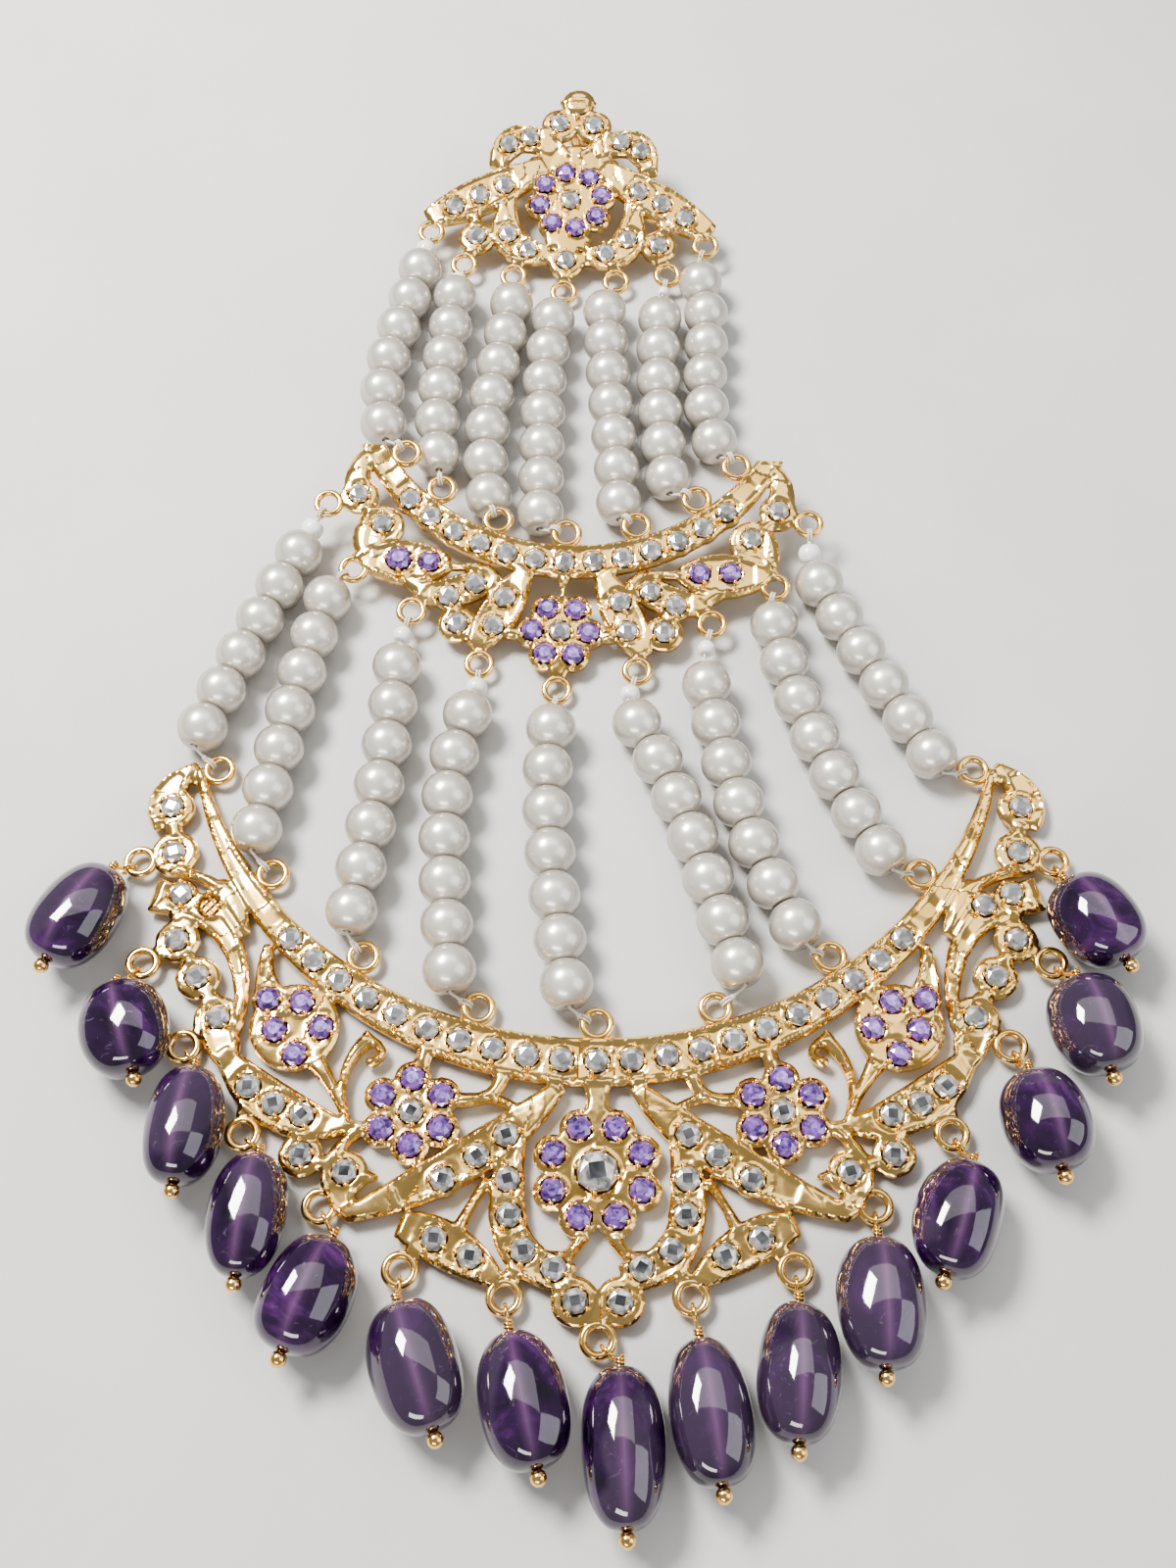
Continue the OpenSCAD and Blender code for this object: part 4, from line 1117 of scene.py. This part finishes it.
BAIL_TURN_DEG = -12
BAIL_INNER_R = 2.62
BAIL_OUTER_R = BAIL_INNER_R + 0.66
BAIL_HALF = 1.18
# Right half of the bail's section, from its bore over the side to its middle: along, out in mm
BAIL_SECTION = [
    (BAIL_HALF - 0.1, BAIL_INNER_R), (BAIL_HALF, BAIL_INNER_R + 0.12),
    (BAIL_HALF, BAIL_OUTER_R - 0.2), (BAIL_HALF - 0.14, BAIL_OUTER_R - 0.04),
    (0.62, BAIL_OUTER_R), (0.5, BAIL_OUTER_R - 0.12), (0.38, BAIL_OUTER_R),
]
# The lobe on the top plate in mm: radius, place, foot and rise of its face, share of its shoulder
LOBE_R = 1.7
LOBE_Y = 14.3
LOBE_FOOT = 0.1
LOBE_RISE = 0.32
LOBE_SHOULDER = 0.3
LOBE_TIP_R = 0.02
# Fine lines across the lobe: step and depth in mm, half width as a share of the step
LINE_STEP = 0.7
LINE_DEPTH = 0.10
LINE_WIDTH = 0.2
# The bead at the lobe's foot: place and radius in mm
LOBE_BEAD = ((0, 12.2, 0.25), 0.42)
# The staple's legs and bar in the top plate's mm: places and wire radii
STAPLE_Y = 14.5
STAPLE_LEGS_X = (-1.75, 1.75)
STAPLE_LEG_Z = (-0.5, -1.6, -2.9, -3.4)
STAPLE_LEG_R = 0.39
STAPLE_BAR_X = (-2.2, 0, 2.2)
STAPLE_BAR_Z = -3.05
STAPLE_BAR_R = 0.32


def dress_bail():
    """The bail: a rounded strip ring with two fine lines cut round it."""
    points, _ = node_arrays("bail")
    low, high = points.min(0), points.max(0)
    middle = Vector((low + high) / 2)
    turn = math.radians(BAIL_TURN_DEG)
    axis = Vector((math.cos(turn), math.sin(turn), 0))
    left = [(-along, out) for along, out in BAIL_SECTION]
    section = left[1::-1] + BAIL_SECTION + left[:1:-1]
    shape = Shape()
    turned(shape, middle, axis, section[::-1], sides=72)
    shape.piece("bail_ring", [WIRE], "gold", ["bail"], angle=35)


def dress_finial():
    """The plain lobe at the top with fine lines, the bead at its foot, and the bail's staple."""
    to_world = plate_matrix("top_plate")
    shape = Shape()
    rings, sides = 8, 40
    points = []
    for r in range(rings + 1):
        t = r / rings
        radius = LOBE_R * (1 - t) + LOBE_TIP_R
        shoulder = min(1.0, t / LOBE_SHOULDER)
        z = LOBE_FOOT + LOBE_RISE * shoulder
        for k in range(sides):
            a = 2 * math.pi * k / sides
            x, y = radius * math.cos(a), LOBE_Y + radius * math.sin(a)
            groove = LINE_DEPTH * max(0, 1 - abs((y / LINE_STEP) % 1 - 0.5) / LINE_WIDTH)
            points.append(to_world @ Vector((x, y, z - groove * shoulder)))
    faces = bands(rings + 1, sides)
    faces.append(tuple(rings * sides + k for k in range(sides)))
    faces.append(tuple(range(sides - 1, -1, -1)))
    shape.put(points, faces)
    place, bead_r = LOBE_BEAD
    ball(shape, to_world @ Vector(place), bead_r, sides=14, rings=10)
    for x in STAPLE_LEGS_X:
        leg = [to_world @ Vector((x, STAPLE_Y, z)) for z in STAPLE_LEG_Z]
        tube(shape, leg, STAPLE_LEG_R, sides=12)
    bar = [to_world @ Vector((x, STAPLE_Y, STAPLE_BAR_Z)) for x in STAPLE_BAR_X]
    tube(shape, bar, STAPLE_BAR_R, sides=12)
    shape.piece("finial_lobe", [WIRE], "gold", angle=50)


# A plate's size of bright cut, and the y of the point from which its cuts run out, in mm
dress_plate("lower_plate", 2.4, 55.4)
dress_plate("middle_plate", 1.8, 35.2)
dress_plate("top_plate", 1.7, 30.0)
dress_strings()
for number in range(1, 16):
    dress_drop(number)
dress_bail()
dress_finial()

# Floor, lights and camera

# Half the floor's side in metres
FLOOR_HALF = 3
floor_corners = [(x * FLOOR_HALF, y * FLOOR_HALF, 0) for x, y in ((-1, -1), (1, -1), (1, 1), (-1, 1))]
floor_mesh = bpy.data.meshes.new("floor")
floor_mesh.from_pydata(floor_corners, [], [(0, 1, 2, 3)])
floor_mesh.materials.append(floor_material())
floor = bpy.data.objects.new("floor", floor_mesh)
bpy.context.scene.collection.objects.link(floor)


def area_light(name, place, target, size, power, colour):
    """Places and sizes in metres, power in watts."""
    data = bpy.data.lights.new(name, "AREA")
    data.shape = "RECTANGLE"
    data.size, data.size_y = size
    data.energy = power
    data.color = colour
    light = bpy.data.objects.new(name, data)
    light.location = place
    light.rotation_euler = (Vector(target) - Vector(place)).to_track_quat("-Z", "Y").to_euler()
    bpy.context.scene.collection.objects.link(light)


area_light("softbox", (0, 0.285, 0.50), (0, 0.284, 0), (0.70, 0.36), 1.2, (1.0, 0.99, 0.97))
area_light("window", (-0.20, 0.15, 0.36), (0, 0, 0), (0.17, 0.12), 3.6, (1.0, 0.99, 0.97))
area_light("fill", (0.36, -0.10, 0.26), (0, 0, 0), (0.30, 0.36), 0.7, (0.95, 0.97, 1.0))
area_light("front", (-0.10, -0.40, 0.22), (0, -0.02, 0), (0.26, 0.08), 0.6, (1.0, 0.97, 0.93))

ROOM_COLOUR = (0.80, 0.82, 0.85, 1)
ROOM_STRENGTH = 0.36
world = bpy.data.worlds.new("studio")
world.use_nodes = True
background = world.node_tree.nodes["Background"]
background.inputs["Color"].default_value = ROOM_COLOUR
background.inputs["Strength"].default_value = ROOM_STRENGTH
bpy.context.scene.world = world
bpy.context.scene.view_settings.look = "AgX - Medium High Contrast"

# The photograph looks down at 63 degrees from the drops' side
CAMERA_PLACE_MM = (0.26, -94.4, 160.6)
CAMERA_TILT_DEG = 27
LENS_MM = 38.25
SENSOR_MM = 36
camera_data = bpy.data.cameras.new("camera")
camera_data.sensor_width = SENSOR_MM
camera_data.lens = LENS_MM
camera_data.clip_start = 0.01
camera = bpy.data.objects.new("camera", camera_data)
camera.location = [c * MM for c in CAMERA_PLACE_MM]
camera.rotation_euler = (math.radians(CAMERA_TILT_DEG), 0, 0)
bpy.context.scene.collection.objects.link(camera)
bpy.context.scene.camera = camera
